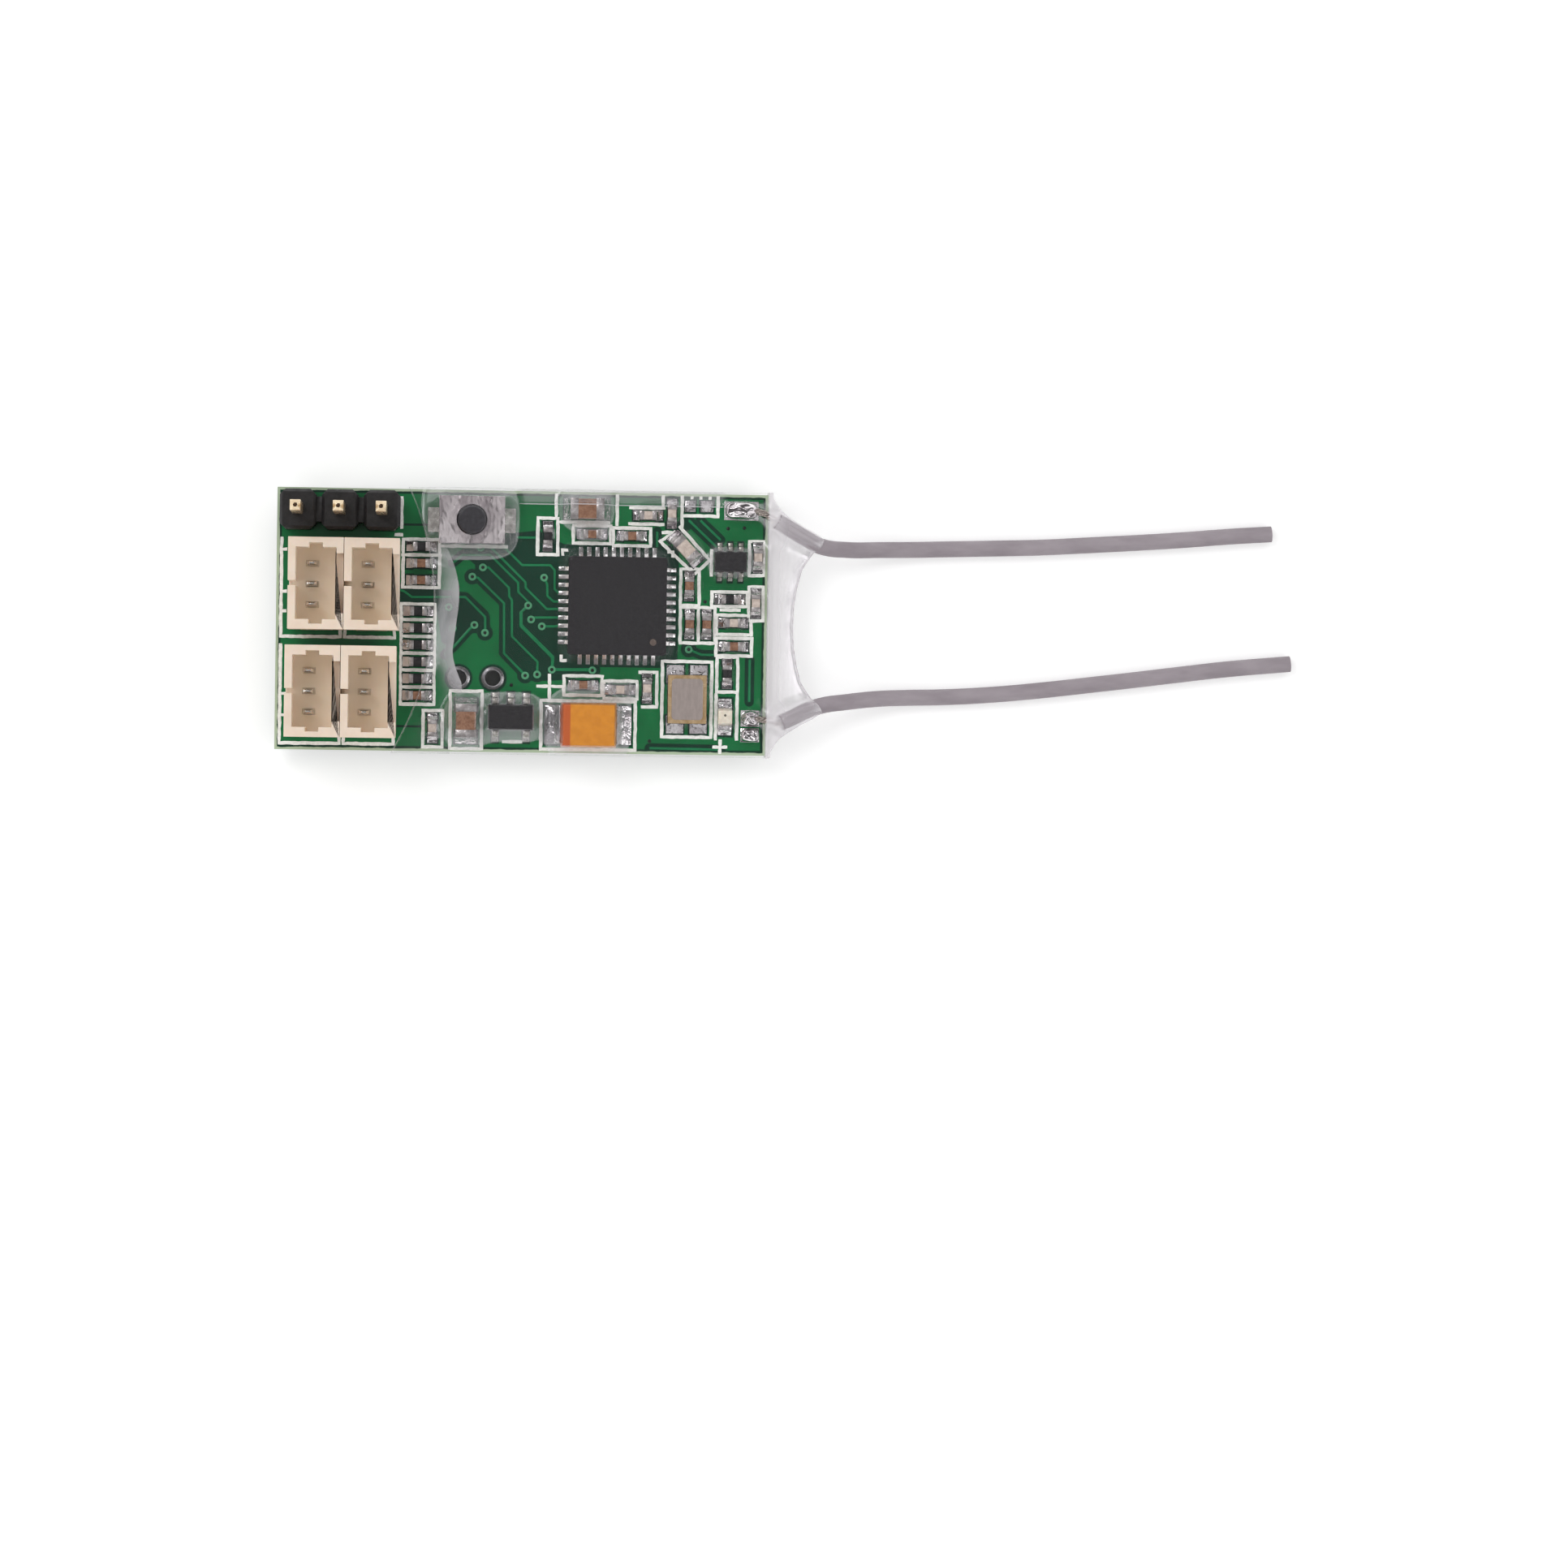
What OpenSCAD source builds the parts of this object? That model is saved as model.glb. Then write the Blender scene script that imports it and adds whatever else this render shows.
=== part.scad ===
/* [Board] */
// Length of the circuit board
board_l = 30; // [29.4:0.1:36]
// Width of the circuit board
board_w = 16; // [16:0.1:20]
// Thickness of the circuit board
board_t = 1; // [0.8:0.1:1.6]
// How far the solder tails and the controller stand below the board
tail_reach = 1.4; // [1.3:0.1:2.5]
// Thickness of the white printed legend
legend_t = 0.03; // [0.02:0.01:0.05]
// Width of a printed legend line
legend_line = 0.15; // [0.12:0.01:0.17]
// Distance between the two plated holes
hole_pitch = 2.1; // [1.6:0.1:3]
// Bore of a plated hole
hole_bore = 0.92; // [0.7:0.02:1]
// Width of the copper land round a plated hole
hole_land = 0.24; // [0.15:0.01:0.25]

/* [Servo header] */
// Distance between two header pins
header_pitch = 2.54; // [2.5:0.01:2.56]
// Length of one header block along the row
header_block_l = 2.2; // [2:0.05:2.3]
// Width of one header block across the row
header_block_w = 2.42; // [2.2:0.02:2.46]
// Height of the header's plastic
header_h = 2.5; // [2:0.1:3]
// Side of a square header pin
header_pin = 0.64; // [0.6:0.01:0.66]
// Height of the header pins above the board
header_pin_h = 8.5; // [6:0.1:9]

/* [Servo sockets] */
// Distance between two socket pins
socket_pitch = 1.25; // [1.2:0.01:1.3]
// Length of a socket
socket_l = 5.55; // [5.4:0.01:5.6]
// Width of a socket
socket_w = 3.34; // [3.2:0.01:3.34]
// Height of a socket
socket_h = 4.2; // [3.8:0.1:5]
// Thickness of a socket's long walls
socket_side_wall = 0.46; // [0.4:0.01:0.5]
// Thickness of a socket's end walls
socket_end_wall = 0.6; // [0.5:0.01:0.65]
// Thickness of a socket's floor
socket_floor = 1.1; // [0.8:0.1:1.4]
// Width of the notch in each end wall
socket_notch = 0.82; // [0.6:0.02:1]
// How much lower the open stretch of the right wall stands
socket_step = 0.5; // [0.3:0.05:0.8]
// Width of a flat socket pin
socket_pin_w = 0.6; // [0.5:0.02:0.64]
// Thickness of a flat socket pin
socket_pin_t = 0.25; // [0.2:0.01:0.3]
// Height of the socket pins above the socket's floor
socket_pin_h = 2.2; // [1.5:0.1:2.6]

/* [Bind button] */
// Length of the button's metal cover
switch_l = 4; // [3.8:0.05:4.2]
// Width of the button's metal cover
switch_w = 2.9; // [2.7:0.05:3]
// Height of the button's cover above the board
switch_h = 1.5; // [1.4:0.05:1.7]
// Thickness of the cover's sheet metal
switch_sheet = 0.12; // [0.1:0.01:0.15]
// Diameter of the plunger
plunger_d = 1.7; // [1.4:0.05:1.8]
// How far the plunger stands above the cover
plunger_rise = 0.5; // [0.4:0.05:0.8]
// Travel of the plunger
plunger_travel = 0.25; // [0.15:0.05:0.3]
// Running clearance round the plunger
plunger_gap = 0.06; // [0.04:0.01:0.08]

/* [Chips] */
// Side of the square radio chip
radio_side = 6; // [5.8:0.05:6.1]
// Height of the radio chip
radio_h = 0.85; // [0.7:0.05:1]
// Distance between two contacts of the radio chip
radio_pitch = 0.5; // [0.48:0.01:0.52]
// Contacts on each side of the radio chip
radio_contacts = 10; // [6:1:10]
// Length of the voltage regulator's body
regulator_l = 2.8; // [2.6:0.05:3]
// Length of the antenna switch chip's body
aerial_chip_l = 2; // [1.9:0.05:2.1]
// Length of the controller chip's body
controller_l = 6.5; // [5.5:0.1:7]
// Thickness of a chip's formed leads
lead_t = 0.13; // [0.1:0.01:0.15]

/* [Crystal, capacitors and lamp] */
// Length of the crystal's case
crystal_l = 3; // [2.8:0.05:3.2]
// Width of the crystal's case
crystal_w = 2.4; // [2.2:0.05:2.5]
// Height of the crystal's case
crystal_h = 0.7; // [0.6:0.05:0.9]
// Length of the tantalum capacitor's body
tantalum_l = 3.4; // [3.2:0.05:3.5]
// Width of the tantalum capacitor's body
tantalum_w = 2.75; // [2.6:0.05:2.8]
// Height of the tantalum capacitor
tantalum_h = 1.9; // [1.6:0.05:2]
// Length of a small chip part
chip_l = 1; // [0.95:0.01:1.05]
// Width of a small chip part
chip_w = 0.5; // [0.45:0.01:0.55]
// Height of a small chip resistor
resistor_h = 0.35; // [0.3:0.01:0.4]
// Height of a small chip capacitor
capacitor_h = 0.5; // [0.45:0.01:0.55]
// Length of the two large chip capacitors
large_chip_l = 2; // [1.9:0.02:2.1]
// Length of the status lamp
lamp_l = 1.6; // [1.5:0.02:1.7]
// Reach of a solder fillet past a chip part's end
fillet_reach = 0.4; // [0.3:0.02:0.42]

/* [Film sleeve and antennas] */
// Wall of the clear shrink film
film_t = 0.12; // [0.1:0.01:0.2]
// Gap between the film and what it covers
film_gap = 0.1; // [0.1:0.01:0.15]
// Diameter of an antenna's insulation
antenna_d = 1; // [0.9:0.05:1]
// Diameter of an antenna's bare strands
core_d = 0.5; // [0.4:0.02:0.5]

/* [Hidden] */
$fn = 48;
EPS = 0.01;

// Heights: the rest plane is z = 0, and the board stands one tail's reach above it
board_z = tail_reach;
top_z = board_z + board_t;
standoff = 0.05;
land_t = 0.04;

// Places are measured from the board's edges, so that they follow its size
function from_left(d) = -board_l / 2 + d;
function from_right(d) = board_l / 2 - d;
function from_top(d) = board_w / 2 - d;
function from_bottom(d) = -board_w / 2 + d;

// Servo header: three pins in a row along the top left edge
header_x = from_left(1.32);
header_y = from_top(1.4);
function header_pin_x(i) = header_x + i * header_pitch;
header_web_w = header_block_w - 2 * 0.45;
header_chamfer = 0.35;
header_hole_r = header_pin * 0.72;

// Servo sockets: two pairs, one above the other
socket_gap = 0.03;
socket_edge = 0.81;
socket_row_shift = 0.13;
socket_x1 = from_left(socket_edge + socket_w / 2);
socket_x2 = socket_x1 + socket_w + socket_gap;
socket_upper_y = from_top(3.15 + socket_l / 2);
socket_lower_y = from_bottom(0.8 + socket_l / 2);
socket_places = [[socket_x1, socket_upper_y], [socket_x2, socket_upper_y],
    [socket_x1 - socket_row_shift, socket_lower_y], [socket_x2 - socket_row_shift, socket_lower_y]];
socket_pin_x = -0.26;
socket_tail_w = socket_pin_w * 0.75;
socket_hole_r = socket_pin_w * 0.6;
socket_notch_depth = socket_end_wall * 0.45;
socket_recess = 0.1;
socket_slot = 0.3;

// Bind button
switch_x = from_left(11.85);
switch_y = from_top(1.85);
switch_z = top_z + standoff;
cover_z = top_z + switch_h - switch_sheet;
plunger_hole_r = plunger_d / 2 + plunger_gap;
flange_r = plunger_d / 2 + 0.25;
flange_t = 0.25;
well_r = flange_r + plunger_gap;
flange_top = cover_z - 0.03;
dome_t = 0.08;
dome_rise = plunger_travel + 0.05;
well_floor = flange_top - flange_t - dome_rise - dome_t - 0.04;
terminal_w = 1.5;
terminal_reach = 0.68;

// Chips
radio_x = from_right(9.2);
radio_y = from_top(6.95);
contact_w = 0.25;
contact_reach = 0.6;
regulator_x = from_left(14.38);
regulator_y = from_bottom(2.15);
regulator_w = 1.6;
regulator_h = 1.1;
regulator_pitch = 0.95;
aerial_chip_x = from_right(2.3);
aerial_chip_y = from_top(4.15);
aerial_chip_w = 1.25;
aerial_chip_h = 0.9;
aerial_chip_pitch = 0.65;
controller_x = from_right(9.5);
controller_y = 0;
controller_w = 4.4;
controller_h = 1.05;
controller_pitch = 0.65;
controller_lead_count = 10;

// Crystal, tantalum capacitor and lamp
crystal_x = from_right(4.85);
crystal_y = from_bottom(3.4);
crystal_ring_w = 0.24;
crystal_ring_t = 0.08;
crystal_case_h = crystal_h - 2 * crystal_ring_t;
tantalum_x = from_right(10.88);
tantalum_y = from_bottom(1.74);
lamp_x = from_right(2.5);
lamp_y = from_bottom(2.35);
lamp_w = 0.85;
lamp_h = 0.6;

// Small chip parts: place and turn of each, in the order of the printed boxes
bank_x = from_left(8.65);
bank_pitch = 1.03;
bank_a_y = from_top(3.5);
bank_b_y = from_top(7.45);
resistor_places = concat([[bank_x + 0.15, bank_a_y, 0]],
    [for (i = [0:4]) [bank_x, bank_b_y - i * bank_pitch, 0]],
    [[from_right(13.5), from_top(2.75), 90],
    [from_right(2.3), from_top(6.42), 0],
    [from_right(2.4), from_bottom(5), 90]]);
brown_places = concat([for (i = [1:2]) [bank_x + 0.15, bank_a_y - i * bank_pitch, 0]],
    [[bank_x, bank_b_y - 5 * bank_pitch, 0],
    [from_right(10.8), from_top(2.57), 0],
    [from_right(8.35), from_top(2.65), 0],
    [from_right(4.8), from_top(5.65), 90],
    [from_right(4.75), from_top(8), 90],
    [from_right(3.7), from_top(8), 90],
    [from_right(2.02), from_top(9.32), 0],
    [from_right(11.22), from_bottom(4.18), 0]]);
pale_places = [[from_right(7.38), from_top(1.37), 0],
    [from_right(5.92), from_top(1.24), 90],
    [from_right(0.6), from_top(3.85), 90],
    [from_right(0.7), from_top(6.65), 90],
    [from_right(2.05), from_top(7.88), 0],
    [from_right(8.95), from_bottom(3.93), 0],
    [from_right(7.3), from_bottom(4.03), 90],
    [from_left(9.6), from_bottom(1.42), 90]];
chip_end = 0.25;
plate_t = 0.02;
large_chip_w = 1.22;
large_chip_h = 1.2;
large_chip_end = 0.45;
large_places = [[from_right(11.13), from_top(1.05), 0], [from_left(11.65), from_bottom(1.9), 90]];
coil_l = 1.6;
coil_w = 0.8;
coil_h = 0.8;
coil_place = [from_right(5.05), from_top(3.38), -47];

// Plated holes and bare lands
hole_x = from_left(11.16);
hole_y = from_bottom(4.52);
hole_places = [[hole_x, hole_y], [hole_x + hole_pitch, hole_y]];
lining_t = 0.05;
hole_r = hole_bore / 2 + lining_t + EPS;
test_land_w = 0.68;
test_lands = [[from_right(4.8), 0.64], [from_right(3.77), 0.76]];
test_land_y = from_top(0.76);

// Antennas: both lie in one plane with the lands, then dip to the surface below
antenna_r = antenna_d / 2;
joint_land_l = 2.1;
joint_land_w = 1.15;
upper_land = [from_right(1.65), from_top(1)];
lower_land = [from_right(0.95), from_bottom(2.28)];
return_land = [from_right(0.95), from_bottom(1.25)];
return_land_l = 1.15;
return_land_w = 0.85;
edge_x = board_l / 2;
edge_y = board_w / 2;
// Points of each antenna: distance past the board's right end, distance in from its long edge, height
upper_bare = [[-0.7, 1, 2.8], [-0.2, 1.2, 2.8], [0.34, 1.51, 2.98], [0.5, 1.6, 2.95]];
upper_run = [[0.5, 1.6, 2.95], [1.3, 2.05, 2.8], [2.3, 2.6, 2.5], [3.3, 3.08, 2.15], [5, 3.25, 1.55],
    [7, 3.2, 0.95], [9, 3.15, 0.6], [11, 3.08, 0.5], [14, 2.98, 0.5], [17, 2.87, 0.5],
    [20, 2.68, 0.5], [23, 2.48, 0.5], [26, 2.25, 0.5], [29, 1.98, 0.5], [31.5, 1.8, 0.5]];
lower_bare = [[-0.6, 2.25, 2.8], [0.1, 2.2, 2.8], [0.74, 1.98, 2.99], [0.9, 2.05, 2.95]];
lower_run = [[0.9, 2.05, 2.95], [1.7, 2.4, 2.75], [2.5, 2.8, 2.45], [3.5, 3.14, 2.1], [5, 3.37, 1.55],
    [7, 3.6, 0.95], [9, 3.7, 0.6], [11, 3.76, 0.5], [14, 3.95, 0.5], [17, 4.25, 0.5],
    [20, 4.62, 0.5], [23, 5, 0.5], [26, 5.4, 0.5], [29, 5.78, 0.5], [32.8, 6.15, 0.5]];
function upper_path(run) = [for (p = run) [edge_x + p[0], edge_y - p[1], p[2]]];
function lower_path(run) = [for (p = run) [edge_x + p[0], -edge_y + p[1], p[2]]];

// Film sleeve: a grid of rows across the board and columns along it
film_rows = 34;
film_cover_columns = 36;
film_web_columns = 5;
film_side = edge_y + film_gap + film_t;
film_end_x = edge_x + 0.1;
film_curve = 1.4;
film_strand_slope = 0.8;
film_margin = 0.25;
film_mouth_x = from_left(9.6);
film_mouth_y = 0.9;
film_mouth_bend = 0.031;
film_flat = [[-1.5, 12], [-4.6, 4.6]];
film_rise = 0.35;
film_low_cover = 0.16;
film_floor = top_z + film_low_cover + film_gap + film_t;
film_chip_cover = 0.58;
film_web_z = 2.95;
film_web_fall = 0.26;
// The film's right edge: distance from the middle line, distance past the board's end
film_edge = [[0, 1.6], [1.2, 1.65], [2.4, 1.85], [3.5, 2.15], [4.4, 2.75], [4.9, 3.3], [5.3, 3.5],
    [5.7, 2.9], [6.1, 2.1], [6.6, 1.3], [7, 0.8], [7.4, 0.5], [7.8, 0.3], [9, 0.25]];
film_channel = antenna_r + film_gap;
strand_points = concat(upper_path(upper_bare), lower_path(lower_bare));
// Half length and half width that a small chip part lifts, lying along the board and across it
film_chip_reach = [[0.6, 0.35], [0.35, 0.6]];
// What lifts the film: centre, half length, half width and top
film_covers = concat([for (p = strand_points) [p[0], p[1], 0.2, 0.2, p[2] + film_channel]],
    [for (p = concat(resistor_places, brown_places, pale_places)) [p[0], p[1], film_chip_reach[p[2] / 90][0],
        film_chip_reach[p[2] / 90][1], top_z + film_chip_cover]],
    [[switch_x, switch_y, switch_l / 2 + 0.2, switch_w / 2, top_z + switch_h + 0.1],
    [switch_x, switch_y, plunger_d / 2, plunger_d / 2, top_z + switch_h + plunger_rise + 0.15],
    [tantalum_x, tantalum_y, tantalum_l / 2, tantalum_w / 2, top_z + tantalum_h],
    [radio_x, radio_y, radio_side / 2, radio_side / 2, top_z + radio_h + standoff],
    [regulator_x, regulator_y, regulator_l / 2, regulator_w / 2, top_z + regulator_h + standoff],
    [aerial_chip_x, aerial_chip_y, aerial_chip_l / 2, aerial_chip_w / 2, top_z + aerial_chip_h + standoff],
    [crystal_x, crystal_y, crystal_w / 2, crystal_l / 2, top_z + crystal_h + standoff],
    [lamp_x, lamp_y, lamp_w / 2, lamp_l / 2, top_z + lamp_h + 0.1],
    [coil_place[0], coil_place[1], 0.8, 0.8, top_z + coil_h + standoff],
    [large_places[0][0], large_places[0][1], large_chip_l / 2, large_chip_w / 2, top_z + large_chip_h + 0.1],
    [large_places[1][0], large_places[1][1], large_chip_w / 2, large_chip_l / 2, top_z + large_chip_h + 0.1],
    [upper_land[0], upper_land[1], joint_land_l / 2, joint_land_w / 2, top_z + 0.85],
    [lower_land[0], lower_land[1], 0.6, 0.8, top_z + 0.85]]);

// A box that stands on the given height, centred on its place
module standing_box(l, w, h) {
    translate([-l / 2, -w / 2, 0]) cube([l, w, h]);
}

// A side profile in the XZ plane, extruded along Y about the middle
module along_y(w) {
    translate([0, w / 2, 0]) rotate([90, 0, 0]) linear_extrude(w) children();
}

module place(p) {
    translate([p[0], p[1], top_z]) rotate(p[2]) children();
}

module board() {
    color([0.05, 0.36, 0.17]) difference() {
        translate([0, 0, board_z]) standing_box(board_l, board_w, board_t);
        for (p = hole_places) board_bore(p, hole_r);
        for (i = [0:2]) board_bore([header_pin_x(i), header_y], header_hole_r);
        for (s = socket_places, i = [-1:1])
            board_bore([s[0] + socket_pin_x, s[1] + i * socket_pitch], socket_hole_r);
    }
}

module board_bore(p, r) {
    translate([p[0], p[1], board_z - 1]) cylinder(r = r, h = board_t + 2);
}

// Printed legend: boxes round the parts, rules between them, and plain plus and minus signs
legend_boxes = [[bank_x + 0.15, bank_a_y - bank_pitch, 2.3, 3],
    [bank_x, bank_b_y - 2.55 * bank_pitch, 2.1, 6.2],
    [from_right(13.5), from_top(2.75), 1.3, 2.3],
    [from_right(10.8), from_top(2.6), 2.35, 1.15],
    [from_right(8.35), from_top(2.7), 2.35, 1.15],
    [from_right(4.75), from_top(5.72), 1.2, 2.3],
    [from_right(2.3), from_top(6.42), 2.25, 0.95],
    [from_right(0.68), from_top(3.9), 0.95, 2.15],
    [from_right(0.68), from_top(6.68), 0.95, 2.15],
    [from_right(4.25), from_top(8.05), 2.2, 2.25],
    [from_right(2), from_top(9.35), 2.25, 1.15],
    [from_right(2.38), from_bottom(4.95), 1.35, 2.2],
    [crystal_x, crystal_y, 3.1, 4.7],
    [tantalum_x, tantalum_y - 0.02, 5.85, 3.05],
    [from_right(11.22), from_bottom(4.15), 2.4, 1.25],
    [from_right(8.92), from_bottom(3.92), 2.1, 1.15],
    [from_left(11.65), from_bottom(1.95), 2, 3.6],
    [from_left(9.62), from_bottom(1.38), 1.25, 2.3]];
legend_rules = concat(
    [for (i = [0.5:4.5]) [bank_x - 1, bank_b_y - i * bank_pitch, bank_x + 1, bank_b_y - i * bank_pitch]],
    [for (e = [socket_upper_y, socket_lower_y]) each socket_rules(e)],
    [for (d = [3.8, 6.35, 7.55, 12.6, 13.9]) [from_left(0.3), from_top(d), from_left(0.55), from_top(d)]],
    [[bank_x - 1, bank_a_y - bank_pitch / 2, bank_x + 1.3, bank_a_y - bank_pitch / 2],
    [from_left(7.58), from_top(0.55), from_left(7.58), from_top(2.35)],
    [from_left(7.25), from_top(2.8), from_left(7.58), from_top(2.8)],
    [from_left(9.9), from_top(3.44), from_left(14), from_top(3.44)],
    [from_right(13), from_top(0.2), from_right(13), from_top(1.6)],
    [from_right(12.8), from_top(1.85), from_right(9.8), from_top(1.85)],
    [from_right(9.28), from_top(0.2), from_right(9.28), from_top(1.95)],
    [from_right(8.45), from_top(0.9), from_right(6.4), from_top(0.9)],
    [from_right(8.5), from_top(1.9), from_right(6.45), from_top(1.9)],
    [from_right(6.45), from_top(0.2), from_right(6.45), from_top(0.9)],
    [from_right(6.45), from_top(2.4), from_right(5.7), from_top(2.4)],
    [from_right(5.3), from_top(0.2), from_right(5.3), from_top(2.1)],
    [from_right(5.3), from_top(1.35), from_right(3.1), from_top(1.35)],
    [from_right(3.1), from_top(0.2), from_right(3.1), from_top(1.35)],
    [from_right(6.6), from_top(2.95), from_right(4.6), from_top(4.85)],
    [from_right(5.4), from_top(2.05), from_right(3.55), from_top(4.05)],
    [from_right(6.6), from_top(2.95), from_right(5.75), from_top(2.35)],
    [from_right(3.55), from_top(4.05), from_right(4.4), from_top(4.85)],
    [from_right(3.45), from_top(3.45), from_right(3.45), from_top(4.95)],
    [from_right(4.2), from_top(7), from_right(4.2), from_top(9.1)],
    [from_right(3), from_top(7.4), from_right(1.1), from_top(7.4)],
    [from_right(2.8), from_top(7.08), from_right(1.7), from_top(7.08)],
    [from_right(3.07), from_top(7.4), from_right(3.07), from_top(8.6)],
    [from_right(3.05), from_top(8.58), from_right(0.95), from_top(8.58)],
    [from_right(0.95), from_top(7.9), from_right(0.95), from_top(8.6)],
    [from_right(3.05), from_bottom(3.7), from_right(3.05), from_bottom(1)],
    [from_right(1.75), from_bottom(3.7), from_right(1.75), from_bottom(1)],
    [from_right(7.75), from_bottom(5.02), from_right(6.7), from_bottom(5.02)],
    [from_right(6.7), from_bottom(5.02), from_right(6.7), from_bottom(2.9)],
    [from_right(7.55), from_bottom(2.9), from_right(6.7), from_bottom(2.9)],
    [from_right(13.97), from_bottom(4.08), from_right(12.57), from_bottom(4.08)],
    [from_right(13.27), from_bottom(4.75), from_right(13.27), from_bottom(3.4)],
    [from_right(3.15), from_bottom(0.5), from_right(2.4), from_bottom(0.5)],
    [from_right(2.77), from_bottom(0.88), from_right(2.77), from_bottom(0.12)],
    [from_left(13.95), from_bottom(0.65), from_left(15), from_bottom(0.65)]]);
// Corner marks of the radio chip, and the three dots over the test lands
radio_corner = radio_side / 2 + 0.45;
legend_corners = [[-1, 1], [1, 1], [-1, -1]];
legend_dots = [for (i = [0:2]) [from_right(4.7 - 0.55 * i), from_top(0.24)]];

function socket_rules(y) = let (left = from_left(0.3), low = y - socket_l / 2 - 0.4, up = low + 0.35,
    mid = socket_x1 + socket_w / 2 - 0.1, right = socket_x2 + socket_w / 2 - 0.3)
    [[left, y + socket_l / 2, left, low], [left, low, mid - 0.12, low], [mid - 0.12, low, mid - 0.12, up],
    [mid + 0.14, low, mid + 0.14, up], [mid + 0.14, low, right, low], [right, low, right, up]];

module legend_rule(r) {
    span = [r[2] - r[0], r[3] - r[1]];
    translate([r[0], r[1]]) rotate(atan2(span[1], span[0]))
        translate([-legend_line / 2, -legend_line / 2]) square([norm(span) + legend_line, legend_line]);
}

module legend_box(b) {
    translate([b[0], b[1]]) difference() {
        square([b[2] + legend_line / 2, b[3] + legend_line / 2], center = true);
        square([b[2] - legend_line * 1.5, b[3] - legend_line * 1.5], center = true);
    }
}

// Bare ground that the legend leaves round a chip part's solder
module legend_ground(places, l, w) {
    for (p = places) translate([p[0], p[1]]) rotate(p[2])
        square([l + 2 * (fillet_reach + plate_t) + 0.1, w + 0.2], center = true);
}

module legend_print() {
    color([0.9, 0.92, 0.9]) translate([0, 0, top_z]) linear_extrude(legend_t) difference() {
        intersection() {
            square([board_l - 0.2, board_w - 0.16], center = true);
            legend_lines();
        }
        legend_ground(concat(resistor_places, brown_places, pale_places), chip_l, chip_w);
        legend_ground(large_places, large_chip_l, large_chip_w);
        legend_ground([coil_place], coil_l, coil_w);
    }
}

module legend_lines() {
    for (b = legend_boxes) legend_box(b);
    for (r = legend_rules) legend_rule(r);
    for (c = legend_corners) for (arm = [[0.4, legend_line], [legend_line, 0.4]])
        translate([radio_x + c[0] * (radio_corner - arm[0] / 2), radio_y + c[1] * (radio_corner - arm[1] / 2)])
            square(arm, center = true);
    for (d = legend_dots) translate(d) square(0.16, center = true);
}

// Header body: three chamfered blocks joined by narrower webs
module header_body() {
    l = header_block_l;
    w = header_block_w;
    c = header_chamfer;
    module block_plan() {
        polygon([[-l / 2, -w / 2 + c], [-l / 2 + c, -w / 2], [l / 2 - c, -w / 2], [l / 2, -w / 2 + c],
            [l / 2, w / 2 - c], [l / 2 - c, w / 2], [-l / 2 + c, w / 2], [-l / 2, w / 2 - c]]);
    }
    module block_side(half) {
        top = 0.18;
        polygon([[-half, 0], [half, 0], [half, header_h - top], [half - top, header_h],
            [-half + top, header_h], [-half, header_h - top]]);
    }
    color([0.09, 0.08, 0.09]) translate([header_x, header_y, top_z]) difference() {
        union() {
            for (i = [0:2]) translate([i * header_pitch, 0, 0]) intersection() {
                linear_extrude(header_h) block_plan();
                along_y(w) block_side(l / 2);
                rotate(90) along_y(l) block_side(w / 2);
            }
            translate([0, -header_web_w / 2, 0]) cube([2 * header_pitch, header_web_w, header_h - 0.35]);
        }
        for (i = [0:2]) translate([i * header_pitch, 0, -1])
            standing_box(header_pin, header_pin, header_h + 2);
    }
}

// Square gold pin with both tips chamfered, from the rest plane to above the block
module header_pin(i) {
    tip = header_pin * 0.32;
    half = header_pin / 2;
    height = top_z + header_pin_h;
    module side() {
        polygon([[-half + tip, 0], [half - tip, 0], [half, tip * 1.4], [half, height - tip * 1.4],
            [half - tip, height], [-half + tip, height], [-half, height - tip * 1.4], [-half, tip * 1.4]]);
    }
    color([0.78, 0.62, 0.38]) translate([header_pin_x(i - 1), header_y, 0]) intersection() {
        along_y(header_pin) side();
        rotate(90) along_y(header_pin) side();
    }
}

// A solder cone under the board round a tail of the given section
module tail_cone(p, r, h, tail) {
    translate([p[0], p[1], board_z - h]) difference() {
        rotate_extrude() polygon([[0, 0], [r * 0.5, 0], [r * 0.58, h * 0.3], [r * 0.75, h * 0.7],
            [r, h - land_t], [r, h], [0, h]]);
        translate([0, 0, -1]) standing_box(tail[0], tail[1], h + 2);
    }
}

module header_solder() {
    color([0.75, 0.75, 0.76]) for (i = [0:2])
        tail_cone([header_pin_x(i), header_y], 0.9, tail_reach * 0.7, [header_pin, header_pin]);
}

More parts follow.
